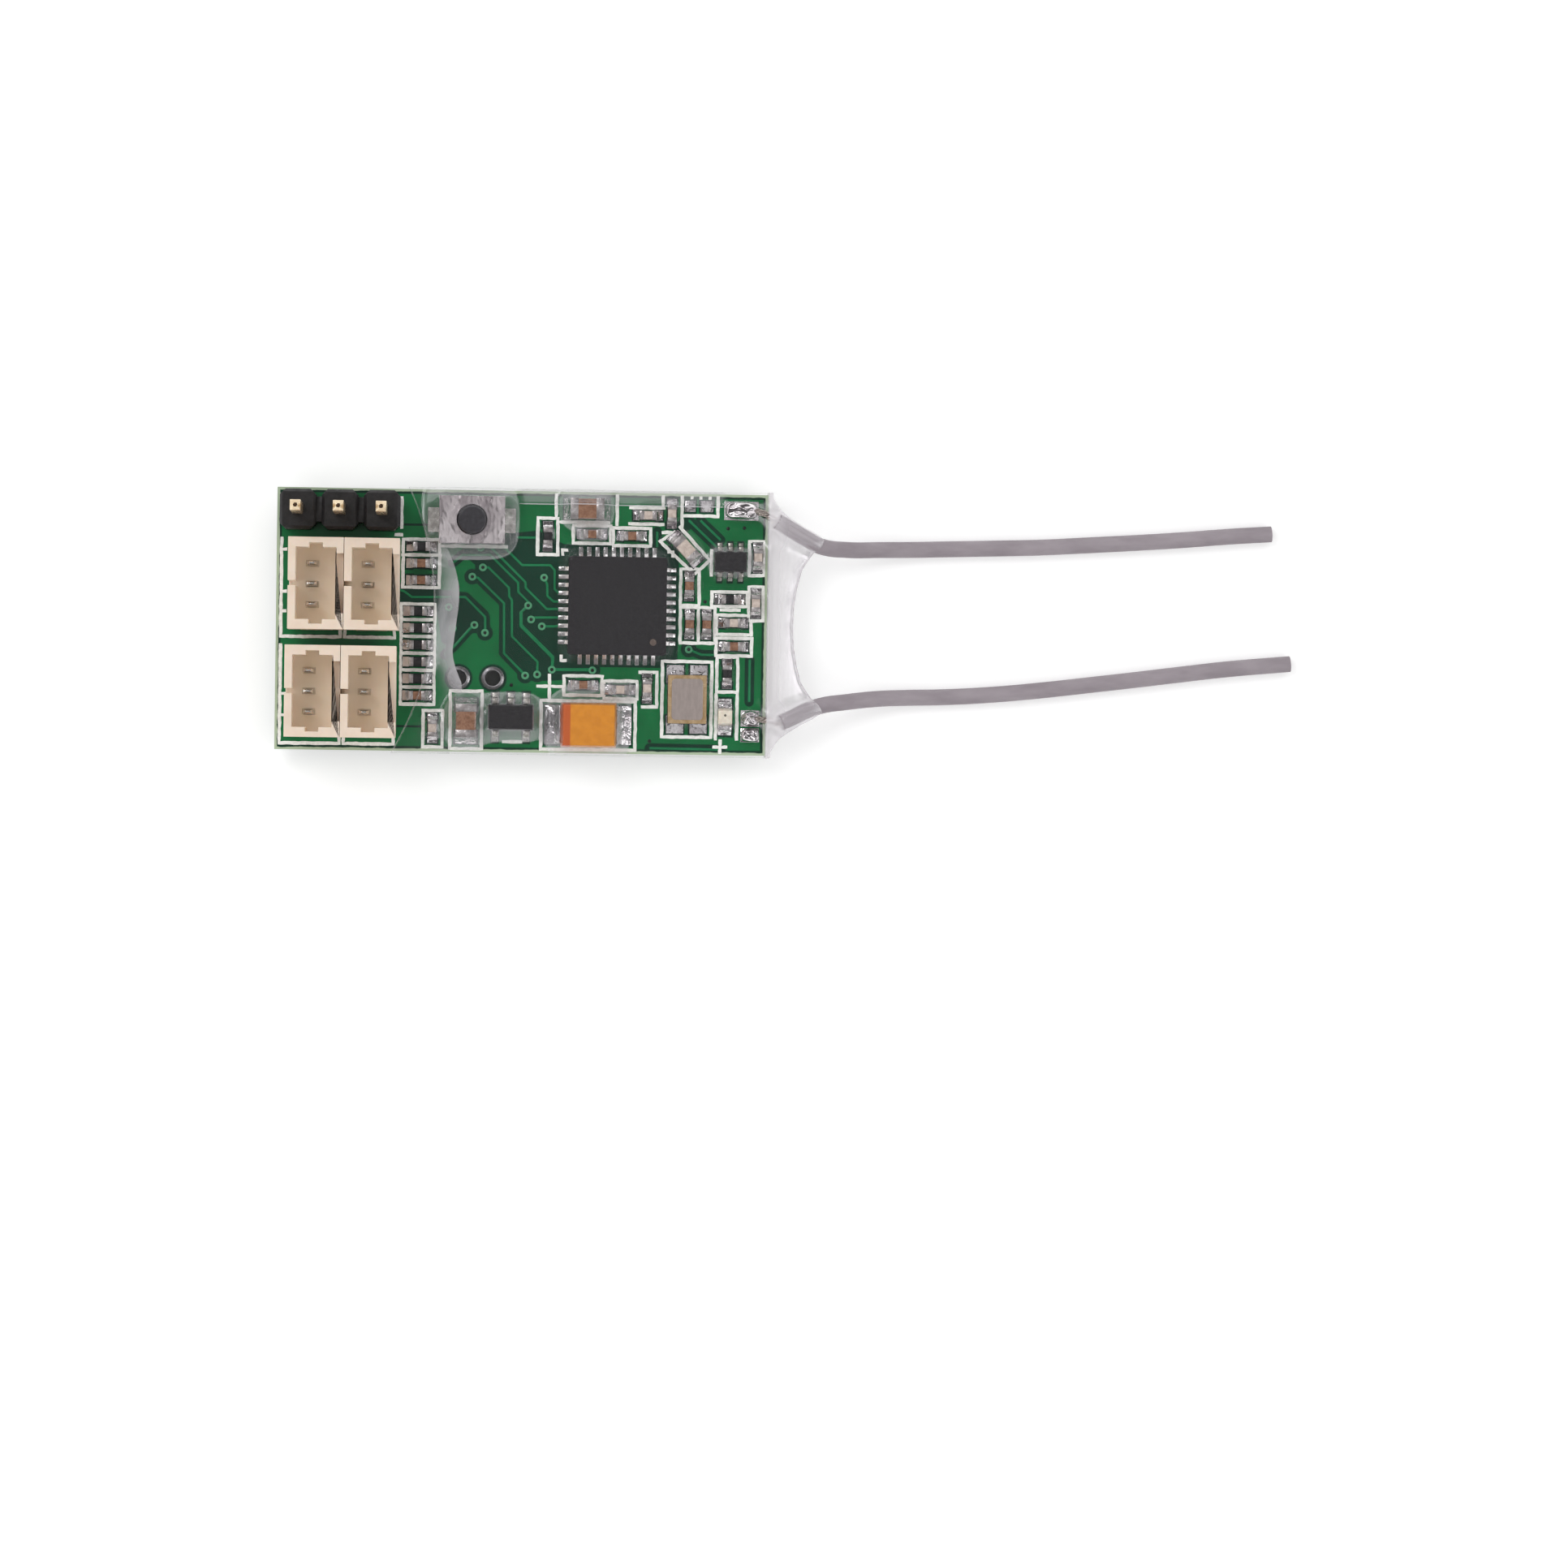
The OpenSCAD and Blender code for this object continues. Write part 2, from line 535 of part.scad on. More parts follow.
// Servo socket: an open shroud with keyed end walls, a slot in its left wall and a stepped right wall
module servo_socket(i) {
    inner_l = socket_l - 2 * socket_end_wall;
    inner_w = socket_w - 2 * socket_side_wall;
    color([0.89, 0.8, 0.7]) translate([socket_places[i - 1][0], socket_places[i - 1][1], top_z]) difference() {
        standing_box(socket_w, socket_l, socket_h);
        translate([0, 0, socket_floor]) {
            standing_box(inner_w, inner_l, socket_h);
            standing_box(socket_notch, inner_l + 2 * socket_notch_depth, socket_h);
        }
        translate([socket_w / 2, 0, socket_h - socket_step])
            standing_box(2 * socket_side_wall - EPS, inner_l * 0.83, socket_h);
        translate([-socket_w / 2, 0, socket_floor])
            standing_box(2 * socket_side_wall + EPS, socket_slot, socket_h);
        for (s = [-1, 1], e = [-1, 1])
            translate([e * (socket_w / 2 - 0.25), s * (socket_l / 2), -EPS])
                standing_box(0.9, 0.5, socket_h * 0.35);
        for (k = [-1:1]) translate([socket_pin_x, k * socket_pitch, 0]) {
            translate([0, 0, -1]) standing_box(socket_pin_w, socket_pin_t, socket_h);
            translate([0, 0, socket_floor - socket_recess])
                standing_box(socket_pin_w + 0.18, socket_pin_t + 0.12, 1);
        }
    }
}

// Flat pins of one socket: full width inside the plastic, a narrower tail through the board
module socket_pins(i) {
    half = socket_pin_w / 2;
    tail = socket_tail_w / 2;
    tip = 0.15;
    foot = top_z + 0.25;
    head = top_z + socket_floor + socket_pin_h;
    color([0.82, 0.8, 0.76]) for (k = [-1:1])
        translate([socket_places[i - 1][0] + socket_pin_x, socket_places[i - 1][1] + k * socket_pitch, 0])
            intersection() {
                along_y(socket_pin_t) polygon([[-tail, 0], [tail, 0], [tail, foot], [half, foot],
                    [half, head - tip], [half - tip, head], [-half + tip, head], [-half, head - tip],
                    [-half, foot], [-tail, foot]]);
                rotate(90) along_y(socket_pin_w) polygon([[-socket_pin_t / 2, 0], [socket_pin_t / 2, 0],
                    [socket_pin_t / 2, head - tip], [socket_pin_t / 5, head],
                    [-socket_pin_t / 5, head], [-socket_pin_t / 2, head - tip]]);
            }
}

module socket_solder() {
    color([0.75, 0.75, 0.76]) for (s = socket_places, k = [-1:1])
        tail_cone([s[0] + socket_pin_x, s[1] + k * socket_pitch], 0.55, tail_reach * 0.6,
            [socket_tail_w, socket_pin_t]);
}

// Bind button: a moulded base with a round well that holds the dome and the plunger's flange
module switch_base() {
    l = switch_l - 2 * switch_sheet;
    color([0.12, 0.11, 0.12]) translate([switch_x, switch_y, 0]) difference() {
        translate([0, 0, switch_z]) standing_box(l - EPS, switch_w - EPS, cover_z - switch_z);
        translate([0, 0, well_floor]) cylinder(r = well_r, h = switch_h);
        for (e = [-1, 1]) translate([e * l / 2, 0, switch_z - EPS])
            standing_box(0.8, terminal_w + EPS, lead_t + 2 * EPS);
    }
}

module switch_dome() {
    r = well_r - plunger_gap;
    color([0.8, 0.8, 0.82]) translate([switch_x, switch_y, well_floor]) rotate_extrude()
        polygon([[0, dome_rise], [r * 0.5, dome_rise * 0.8], [r * 0.85, dome_rise * 0.3], [r, 0],
            [r, dome_t], [r * 0.87, dome_rise * 0.3 + dome_t], [r * 0.52, dome_rise * 0.8 + dome_t],
            [0, dome_rise + dome_t]]);
}

module switch_plunger() {
    edge = 0.12;
    top = top_z + switch_h + plunger_rise;
    color([0.2, 0.19, 0.22]) translate([switch_x, switch_y, 0]) rotate_extrude()
        polygon([[0, flange_top - flange_t], [flange_r, flange_top - flange_t], [flange_r, flange_top],
            [plunger_d / 2, flange_top], [plunger_d / 2, top - edge], [plunger_d / 2 - edge, top], [0, top]]);
}

// Folded cover: a top plate with the plunger's hole, and notched flanges down both ends
module switch_cover() {
    drop = switch_h * 0.6;
    color([0.72, 0.7, 0.71]) translate([switch_x, switch_y, cover_z]) difference() {
        union() {
            standing_box(switch_l, switch_w, switch_sheet);
            for (e = [-1, 1], k = [-1:1])
                translate([e * (switch_l - switch_sheet) / 2, k * switch_w * 0.375, -drop])
                    standing_box(switch_sheet, switch_w * (k == 0 ? 0.3 : 0.25), drop + EPS);
        }
        translate([0, 0, -1]) cylinder(r = plunger_hole_r, h = 3);
    }
}

module switch_terminals() {
    inner = switch_l / 2 - switch_sheet - 0.4;
    color([0.78, 0.77, 0.77]) translate([switch_x, switch_y, top_z + standoff]) for (e = [0, 180])
        rotate(e) along_y(terminal_w) polygon([[inner, 0], [switch_l / 2 + terminal_reach, 0],
            [switch_l / 2 + terminal_reach, lead_t], [inner, lead_t]]);
}

// Radio chip: a flat square body with contacts along all four sides
module radio_chip() {
    c = 0.12;
    half = radio_side / 2;
    color([0.11, 0.1, 0.11]) translate([radio_x, radio_y, top_z + standoff]) difference() {
        linear_extrude(radio_h) polygon([[-half + c, -half], [half - c, -half], [half, -half + c],
            [half, half - c], [half - c, half], [-half + c, half], [-half, half - c], [-half, -half + c]]);
        translate([half - 0.8, -half + 0.8, radio_h - 0.05]) cylinder(r = 0.22, h = 1);
    }
}

module radio_chip_contacts() {
    half = radio_side / 2;
    color([0.78, 0.78, 0.79]) translate([radio_x, radio_y, top_z])
        for (turn = [0, 90, 180, 270], k = [0:radio_contacts - 1]) rotate(turn)
            translate([half, (k - (radio_contacts - 1) / 2) * radio_pitch, 0]) along_y(contact_w)
                polygon([[-0.3, 0], [contact_reach, 0], [contact_reach, land_t], [0.3, 0.09],
                    [0.1, 0.22], [0, 0.3], [0, standoff], [-0.3, standoff]]);
}

// A formed lead: out of the body at half height, down, and out again along the board
module formed_lead(w, rise, reach) {
    t = lead_t;
    along_y(w) polygon([[0, rise - t / 2], [reach * 0.3, rise - t / 2], [reach * 0.45, 0], [reach, 0],
        [reach, t], [reach * 0.45 + t, t], [reach * 0.3 + t, rise + t / 2], [0, rise + t / 2]]);
}

// A moulded body with tapered sides
module moulded_body(l, w, h) {
    draft = h * 0.08;
    module side(half) {
        polygon([[-half + draft, 0], [half - draft, 0], [half, h * 0.5], [half - draft, h],
            [-half + draft, h], [-half, h * 0.5]]);
    }
    intersection() {
        along_y(w) side(l / 2);
        rotate(90) along_y(l) side(w / 2);
    }
}

module regulator_body() {
    color([0.1, 0.1, 0.11]) translate([regulator_x, regulator_y, top_z + standoff])
        moulded_body(regulator_l, regulator_w, regulator_h);
}

module regulator_leads() {
    color([0.8, 0.8, 0.8]) translate([regulator_x, regulator_y, top_z]) {
        for (k = [-1:1]) translate([k * regulator_pitch, regulator_w / 2, 0]) rotate(90)
            formed_lead(0.4, standoff + regulator_h / 2, 0.7);
        for (k = [-1, 1]) translate([k * regulator_pitch, -regulator_w / 2, 0]) rotate(-90)
            formed_lead(0.4, standoff + regulator_h / 2, 0.7);
    }
}

module aerial_chip_body() {
    color([0.12, 0.12, 0.13]) translate([aerial_chip_x, aerial_chip_y, top_z + standoff])
        moulded_body(aerial_chip_l, aerial_chip_w, aerial_chip_h);
}

module aerial_chip_leads() {
    color([0.8, 0.8, 0.8]) translate([aerial_chip_x, aerial_chip_y, top_z])
        for (side = [1, -1], k = [-1:1])
            translate([k * aerial_chip_pitch, side * aerial_chip_w / 2, 0]) rotate(side * 90)
                formed_lead(0.28, standoff + aerial_chip_h / 2, 0.55);
}

// Crystal: a ceramic case, a gold seal ring and a flat metal lid with round corners
module rounded_plan(l, w, r) {
    for (x = [-1, 1], y = [-1, 1]) translate([x * (l / 2 - r), y * (w / 2 - r)]) circle(r);
    square([l - 2 * r, w], center = true);
    square([l, w - 2 * r], center = true);
}

module crystal_case() {
    color([0.25, 0.22, 0.2]) translate([crystal_x, crystal_y, top_z + standoff])
        standing_box(crystal_w, crystal_l, crystal_case_h);
}

module crystal_ring() {
    color([0.83, 0.66, 0.36]) translate([crystal_x, crystal_y, top_z + standoff + crystal_case_h])
        linear_extrude(crystal_ring_t) difference() {
            square([crystal_w - 0.04, crystal_l - 0.04], center = true);
            rounded_plan(crystal_w - 4 * crystal_ring_w, crystal_l - 4 * crystal_ring_w, 0.2);
        }
}

module crystal_lid() {
    color([0.7, 0.68, 0.66])
        translate([crystal_x, crystal_y, top_z + standoff + crystal_case_h + crystal_ring_t])
            linear_extrude(crystal_ring_t)
                rounded_plan(crystal_w - 2 * crystal_ring_w, crystal_l - 2 * crystal_ring_w, 0.25);
}

module crystal_lands() {
    color([0.8, 0.78, 0.74]) translate([crystal_x, crystal_y, top_z]) for (x = [-1, 1], y = [-1, 1])
        translate([x * 0.72, y * (crystal_l / 2 + 0.05), 0]) standing_box(1.05, 1.1, land_t);
}

// Tantalum capacitor: a tapered moulding with two bent tabs
module tantalum_body() {
    color([0.93, 0.55, 0.12]) translate([tantalum_x, tantalum_y, top_z + 0.15])
        moulded_body(tantalum_l, tantalum_w, tantalum_h - 0.15);
}

module tantalum_terminals() {
    half = tantalum_l / 2;
    rise = 0.95;
    fillet = 0.95;
    color([0.78, 0.77, 0.77]) translate([tantalum_x, tantalum_y, top_z]) for (e = [0, 180]) rotate(e)
        along_y(tantalum_w * 0.86) polygon([[half - 0.8, 0], [half + fillet, 0], [half + fillet, land_t],
            [half + 0.35, 0.25], [half + 0.15, 0.6], [half + 0.1, rise], [half, rise], [half, 0.15],
            [half - 0.8, 0.15]]);
}

// Status lamp: a pale body between two plated ends
module status_lamp_body() {
    l = lamp_l - 0.6;
    color([0.93, 0.9, 0.8]) translate([lamp_x, lamp_y, top_z + standoff]) rotate(90) along_y(lamp_w)
        polygon([[-l / 2, 0], [l / 2, 0], [l / 2, 0.25], [l / 2 - 0.12, lamp_h], [-l / 2 + 0.12, lamp_h],
            [-l / 2, 0.25]]);
}

module status_lamp_terminals() {
    inner = lamp_l / 2 - 0.3;
    outer = lamp_l / 2;
    color([0.8, 0.8, 0.8]) translate([lamp_x, lamp_y, top_z]) for (e = [90, 270]) rotate(e)
        along_y(lamp_w) polygon([[inner, 0], [outer + 0.35, 0], [outer + 0.1, 0.12], [outer, 0.3],
            [inner, 0.3]]);
}

// A chip part is a ceramic block with a plated cup on each end
module chip_block(l, w, h) {
    translate([0, 0, standoff]) standing_box(l, w, h);
}

module chip_cups(l, w, h, cup) {
    for (e = [0, 180]) rotate(e) difference() {
        translate([l / 2 - cup, -w / 2 - plate_t, standoff - plate_t])
            cube([cup + plate_t, w + 2 * plate_t, h + 2 * plate_t]);
        chip_block(l, w, h);
    }
}

// Solder at both ends of a chip part: a hollow fillet from the land up the plated end
module chip_fillets(l, w, h) {
    start = l / 2 + plate_t;
    for (e = [0, 180]) rotate(e) along_y(w + 0.1) polygon([[start, 0], [start + fillet_reach, 0],
        [start + fillet_reach, land_t], [start + fillet_reach * 0.5, h * 0.2], [start + fillet_reach * 0.2, h * 0.45],
        [start, h * 0.8]]);
}

module chip_resistors() {
    color([0.13, 0.12, 0.13]) for (p = resistor_places) place(p) chip_block(chip_l, chip_w, resistor_h);
}

module resistor_terminals() {
    color([0.82, 0.82, 0.82]) for (p = resistor_places) place(p)
        chip_cups(chip_l, chip_w, resistor_h, chip_end);
}

module brown_capacitors() {
    color([0.47, 0.32, 0.23]) for (p = brown_places) place(p) chip_block(chip_l, chip_w, capacitor_h);
}

module pale_capacitors() {
    color([0.75, 0.68, 0.62]) for (p = pale_places) place(p) chip_block(chip_l, chip_w, capacitor_h);
}

module capacitor_terminals() {
    color([0.82, 0.82, 0.82]) for (p = concat(brown_places, pale_places)) place(p)
        chip_cups(chip_l, chip_w, capacitor_h, chip_end);
}

module large_capacitors() {
    color([0.5, 0.34, 0.24]) for (p = large_places) place(p)
        chip_block(large_chip_l, large_chip_w, large_chip_h);
}

module large_capacitor_terminals() {
    color([0.82, 0.82, 0.82]) for (p = large_places) place(p)
        chip_cups(large_chip_l, large_chip_w, large_chip_h, large_chip_end);
}

module matching_coil() {
    color([0.8, 0.74, 0.66]) place(coil_place) chip_block(coil_l, coil_w, coil_h);
}

module matching_coil_terminals() {
    color([0.82, 0.82, 0.82]) place(coil_place) chip_cups(coil_l, coil_w, coil_h, 0.35);
}

module chip_solder() {
    color([0.75, 0.75, 0.76]) {
        for (p = resistor_places) place(p) chip_fillets(chip_l, chip_w, resistor_h);
        for (p = concat(brown_places, pale_places)) place(p) chip_fillets(chip_l, chip_w, capacitor_h);
        for (p = large_places) place(p) chip_fillets(large_chip_l, large_chip_w, large_chip_h);
        place(coil_place) chip_fillets(coil_l, coil_w, coil_h);
    }
}

// Plated holes: a thin barrel with a land on each face of the board
module hole_linings() {
    bore = hole_bore / 2;
    barrel = bore + lining_t;
    land = bore + hole_land;
    color([0.72, 0.71, 0.68]) for (p = hole_places) translate([p[0], p[1], 0]) rotate_extrude()
        polygon([[bore, board_z - land_t], [land, board_z - land_t], [land, board_z], [barrel, board_z],
            [barrel, top_z], [land, top_z], [land, top_z + land_t], [bore, top_z + land_t]]);
}

module test_lands() {
    color([0.8, 0.8, 0.78]) for (t = test_lands) translate([t[0], test_land_y, top_z])
        standing_box(t[1], test_land_w, land_t);
}

module antenna_lands() {
    color([0.78, 0.78, 0.77]) translate([0, 0, top_z]) {
        translate(upper_land) standing_box(joint_land_l, joint_land_w, land_t);
        translate(lower_land) standing_box(joint_land_w, joint_land_w - 0.15, land_t);
        translate(return_land) standing_box(return_land_l, return_land_w, land_t);
    }
}

// Controller under the board, with ten formed leads on each long side
module controller_body() {
    color([0.11, 0.1, 0.11]) translate([controller_x, controller_y, board_z - standoff]) mirror([0, 0, 1])
        moulded_body(controller_l, controller_w, controller_h);
}

module controller_leads() {
    first = -(controller_lead_count - 1) / 2;
    color([0.8, 0.8, 0.8]) translate([controller_x, controller_y, board_z]) mirror([0, 0, 1])
        for (side = [1, -1], k = [0:controller_lead_count - 1])
            translate([(first + k) * controller_pitch, side * controller_w / 2, 0]) rotate(side * 90)
                formed_lead(0.24, standoff + controller_h / 2, 0.95);
}

// A tube or rod swept along a path: rings of points, side faces and two flat ends
function unit(v) = v / norm(v);
function heading(path, i) = unit(path[min(i + 1, len(path) - 1)] - path[max(i - 1, 0)]);
function ring(path, i, r, sides) = let (t = heading(path, i), side = unit(cross(t, [0, 0, 1])), up = cross(side, t))
    [for (k = [0:sides - 1]) let (a = 360 * (k + 0.5) / sides) path[i] + r * (cos(a) * side + sin(a) * up)];

module swept_rod(path, r, sides = 8) {
    last = len(path) - 1;
    points = [for (i = [0:last]) each ring(path, i, r, sides)];
    faces = concat([[for (k = [0:sides - 1]) sides - 1 - k]],
        [for (i = [0:last - 1], k = [0:sides - 1]) let (a = i * sides + k, b = i * sides + (k + 1) % sides)
            each [[a, b, b + sides], [a, b + sides, a + sides]]],
        [[for (k = [0:sides - 1]) last * sides + k]]);
    polyhedron(points, faces);
}

module upper_antenna() {
    color([0.6, 0.57, 0.6]) swept_rod(upper_path(upper_run), antenna_r);
}

module lower_antenna() {
    color([0.6, 0.57, 0.6]) swept_rod(lower_path(lower_run), antenna_r);
}

module upper_antenna_core() {
    color([0.7, 0.68, 0.66]) swept_rod(upper_path(upper_bare), core_d / 2);
}

module lower_antenna_core() {
    color([0.7, 0.68, 0.66]) swept_rod(lower_path(lower_bare), core_d / 2);
}

// Solder over an antenna's land: a rounded mound whose end is cut square where the strands begin
module joint_mound(l, w, h, cut, turn) {
    intersection() {
        hull() {
            linear_extrude(EPS) rounded_plan(l, w, w * 0.4);
            translate([0, 0, h * 0.6]) linear_extrude(EPS) rounded_plan(l * 0.8, w * 0.75, w * 0.35);
            translate([0, 0, h]) linear_extrude(EPS) rounded_plan(l * 0.5, w * 0.35, w * 0.15);
        }
        translate(cut) rotate(turn) translate([-10, -5, -5]) cube([10, 10, 10]);
    }
}

module upper_antenna_joint() {
    start = upper_path(upper_bare)[0];
    next = upper_path(upper_bare)[1];
    base = [upper_land[0], upper_land[1], top_z + land_t];
    color([0.75, 0.75, 0.76]) translate(base) joint_mound(joint_land_l - 0.1, joint_land_w - 0.1, 0.65,
        start - base, atan2(next[1] - start[1], next[0] - start[0]), $fn = 24);
}

module lower_antenna_joint() {
    start = lower_path(lower_bare)[0];
    next = lower_path(lower_bare)[1];
    base = [lower_land[0], lower_land[1], top_z + land_t];
    color([0.75, 0.75, 0.76]) translate(base) joint_mound(joint_land_w, joint_land_w - 0.25, 0.65,
        start - base, atan2(next[1] - start[1], next[0] - start[0]), $fn = 24);
}

// Film sleeve: heights of its upper and lower faces over the board and the web past its end. The upper
// face falls from each part in a curve that lies flat where it meets the base.
function distance(x, y, c) = norm([max(0, abs(x - c[0]) - c[2] - film_margin),
    max(0, abs(y - c[1]) - c[3] - film_margin)]);
function web_height(x) = film_web_z - film_web_fall * (x - film_end_x);
function film_base(x) = x > film_end_x - EPS ? web_height(x) + film_t : film_floor;
function fall_reach(x, c) = sqrt(2 * max(0, c[4] + film_gap + film_t - film_base(x)) / film_curve);
function tent(x, y, c) = film_base(x) + film_curve / 2 * pow(max(0, fall_reach(x, c) - distance(x, y, c)), 2);
function film_top(x, y) = max([for (c = film_covers) tent(x, y, c)]);
function beyond(v, span) = max(0, span[0] - v, v - span[1]);
function film_under_strands(x, y) = min([for (p = strand_points) p[2] - film_channel - film_t
    + film_strand_slope * max(0, norm([x - p[0], y - p[1]]) - film_margin)]);
function film_bottom(x, y) = x > film_end_x + EPS ? min(web_height(x) - film_t, film_under_strands(x, y))
    : min(board_z - film_gap - film_t, film_rise * norm([beyond(x, film_flat[0]), beyond(y, film_flat[1])]));
function film_mouth(y) = film_mouth_x - film_mouth_bend * pow(y - film_mouth_y, 2);
function film_reach(y) = edge_x + lookup(abs(y), film_edge);
function film_y(j) = j == 0 ? -film_side : j == film_rows ? film_side
    : (film_side - film_t) * (2 * (j - 1) / (film_rows - 2) - 1);
function film_x(i, y) = i <= film_cover_columns
    ? film_mouth(y) + (film_end_x - film_mouth(y)) * i / film_cover_columns
    : film_end_x + (film_reach(y) - film_end_x) * (i - film_cover_columns) / film_web_columns;

// A closed solid between two faces over columns i0 to i1 and rows j0 to j1, each face shrunk inwards
module film_solid(i0, i1, j0, j1, inset, stretch) {
    rows = j1 - j0 + 1;
    cols = i1 - i0 + 1;
    function x_at(i, y) = film_x(i, y) - (i == i0 ? stretch : 0);
    function node_at(i, j, face) = let (y = film_y(j), x = film_x(i, y))
        [x_at(i, y), y, face == 0 ? film_top(x, y) - inset : film_bottom(x, y) + inset];
    function id(i, j, face) = (face * cols + i) * rows + j;
    function quad(a, b, c, d) = [[a, b, c], [a, c, d]];
    points = [for (face = [0, 1], i = [i0:i1], j = [j0:j1]) node_at(i, j, face)];
    top = [for (i = [0:cols - 2], j = [0:rows - 2])
        each quad(id(i, j, 0), id(i, j + 1, 0), id(i + 1, j + 1, 0), id(i + 1, j, 0))];
    bottom = [for (i = [0:cols - 2], j = [0:rows - 2])
        each quad(id(i, j, 1), id(i + 1, j, 1), id(i + 1, j + 1, 1), id(i, j + 1, 1))];
    ends = [for (j = [0:rows - 2]) each concat(
        quad(id(0, j + 1, 0), id(0, j, 0), id(0, j, 1), id(0, j + 1, 1)),
        quad(id(cols - 1, j, 0), id(cols - 1, j + 1, 0), id(cols - 1, j + 1, 1), id(cols - 1, j, 1)))];
    sides = [for (i = [0:cols - 2]) each concat(
        quad(id(i, 0, 0), id(i + 1, 0, 0), id(i + 1, 0, 1), id(i, 0, 1)),
        quad(id(i + 1, rows - 1, 0), id(i, rows - 1, 0), id(i, rows - 1, 1), id(i + 1, rows - 1, 1)))];
    polyhedron(points, concat(top, bottom, ends, sides));
}

// The film wraps each antenna in a short collar and leaves it room
film_collar_last = 3;
function along(path, from, to) = [for (i = [from:to]) path[i]];

module film_sleeve() {
    runs = [upper_path(upper_run), lower_path(lower_run)];
    strands = [upper_path(upper_bare), lower_path(lower_bare)];
    color([0.85, 0.87, 0.88, 0.35]) difference() {
        union() {
            film_solid(0, film_cover_columns + film_web_columns, 0, film_rows, 0, 0);
            for (run = runs) swept_rod(along(run, 0, film_collar_last), film_channel + film_t, 12);
        }
        film_solid(0, film_cover_columns, 1, film_rows - 1, film_t, 1);
        for (k = [0, 1])
            swept_rod(concat(along(strands[k], 0, 1), along(runs[k], 0, film_collar_last + 3)), film_channel, 12);
    }
}

board();
legend_print();
header_body();
header_pin(1);  // header_pin_1
header_pin(2);  // header_pin_2
header_pin(3);  // header_pin_3
header_solder();
servo_socket(1);  // servo_socket_1
servo_socket(2);  // servo_socket_2
servo_socket(3);  // servo_socket_3
servo_socket(4);  // servo_socket_4
socket_pins(1);  // socket_pins_1
socket_pins(2);  // socket_pins_2
socket_pins(3);  // socket_pins_3
socket_pins(4);  // socket_pins_4
socket_solder();
switch_base();
switch_dome();
switch_plunger();
switch_cover();
switch_terminals();
radio_chip();
radio_chip_contacts();
regulator_body();
regulator_leads();
aerial_chip_body();
aerial_chip_leads();
crystal_case();
crystal_ring();
crystal_lid();
crystal_lands();
tantalum_body();
tantalum_terminals();
status_lamp_body();
status_lamp_terminals();
chip_resistors();
resistor_terminals();
brown_capacitors();
pale_capacitors();
capacitor_terminals();
large_capacitors();
large_capacitor_terminals();
matching_coil();
matching_coil_terminals();
chip_solder();
hole_linings();
test_lands();
antenna_lands();
controller_body();
controller_leads();
film_sleeve();
upper_antenna();
lower_antenna();
upper_antenna_core();
lower_antenna_core();
upper_antenna_joint();
lower_antenna_joint();
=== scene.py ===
import math
import random

import bmesh
import bpy
import numpy as np
from mathutils import Matrix, Quaternion, Vector, noise
from mathutils.bvhtree import BVHTree
from mathutils.geometry import convex_hull_2d


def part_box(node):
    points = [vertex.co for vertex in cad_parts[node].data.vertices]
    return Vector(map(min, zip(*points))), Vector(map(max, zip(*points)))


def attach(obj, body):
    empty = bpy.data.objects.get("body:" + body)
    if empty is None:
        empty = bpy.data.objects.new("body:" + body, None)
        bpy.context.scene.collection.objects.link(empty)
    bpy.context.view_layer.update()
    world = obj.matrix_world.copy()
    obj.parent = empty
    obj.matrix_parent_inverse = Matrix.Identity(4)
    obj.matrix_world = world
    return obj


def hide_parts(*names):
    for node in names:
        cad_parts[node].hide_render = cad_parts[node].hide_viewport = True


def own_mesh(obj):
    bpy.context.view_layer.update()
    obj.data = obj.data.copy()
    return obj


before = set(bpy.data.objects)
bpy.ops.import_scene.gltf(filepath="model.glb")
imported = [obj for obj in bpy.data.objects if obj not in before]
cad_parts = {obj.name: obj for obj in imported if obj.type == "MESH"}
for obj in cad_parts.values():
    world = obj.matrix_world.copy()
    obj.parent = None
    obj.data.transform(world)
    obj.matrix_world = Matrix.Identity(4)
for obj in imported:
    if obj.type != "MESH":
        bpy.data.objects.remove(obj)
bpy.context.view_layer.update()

# Camera
# It looks almost straight down from about 0.3 m, leaning some 4 degrees. Its place and turn were
# fitted to the board's corners, the header's blocks and its pin tips.
MM = 0.001
PHOTO_SIDE = 1932
FOCAL_PIXELS = 6102.01
SENSOR = 36
camera_turn = Vector((-0.016, -0.070, 0.014))
camera_data = bpy.data.cameras.new("camera")
camera_data.sensor_width = SENSOR
camera_data.lens = FOCAL_PIXELS / PHOTO_SIDE * SENSOR
camera_data.clip_start = 0.01
camera = bpy.data.objects.new("camera", camera_data)
camera.location = Vector((-5.110, -4.996, 305.996)) * MM
camera.rotation_mode = "QUATERNION"
camera.rotation_quaternion = Quaternion(camera_turn.normalized(), camera_turn.length)
bpy.context.scene.collection.objects.link(camera)
bpy.context.scene.camera = camera

# Antennas
# Each is 1 mm stranded wire in soft grey insulation, cut bare at the far end. The insulation is
# pulled back at the board, and the film grips it for its first few millimetres.
BOARD_END = 15
BOARD_EDGE = 8
TOP_Z = 2.4
ANTENNA_D = 1
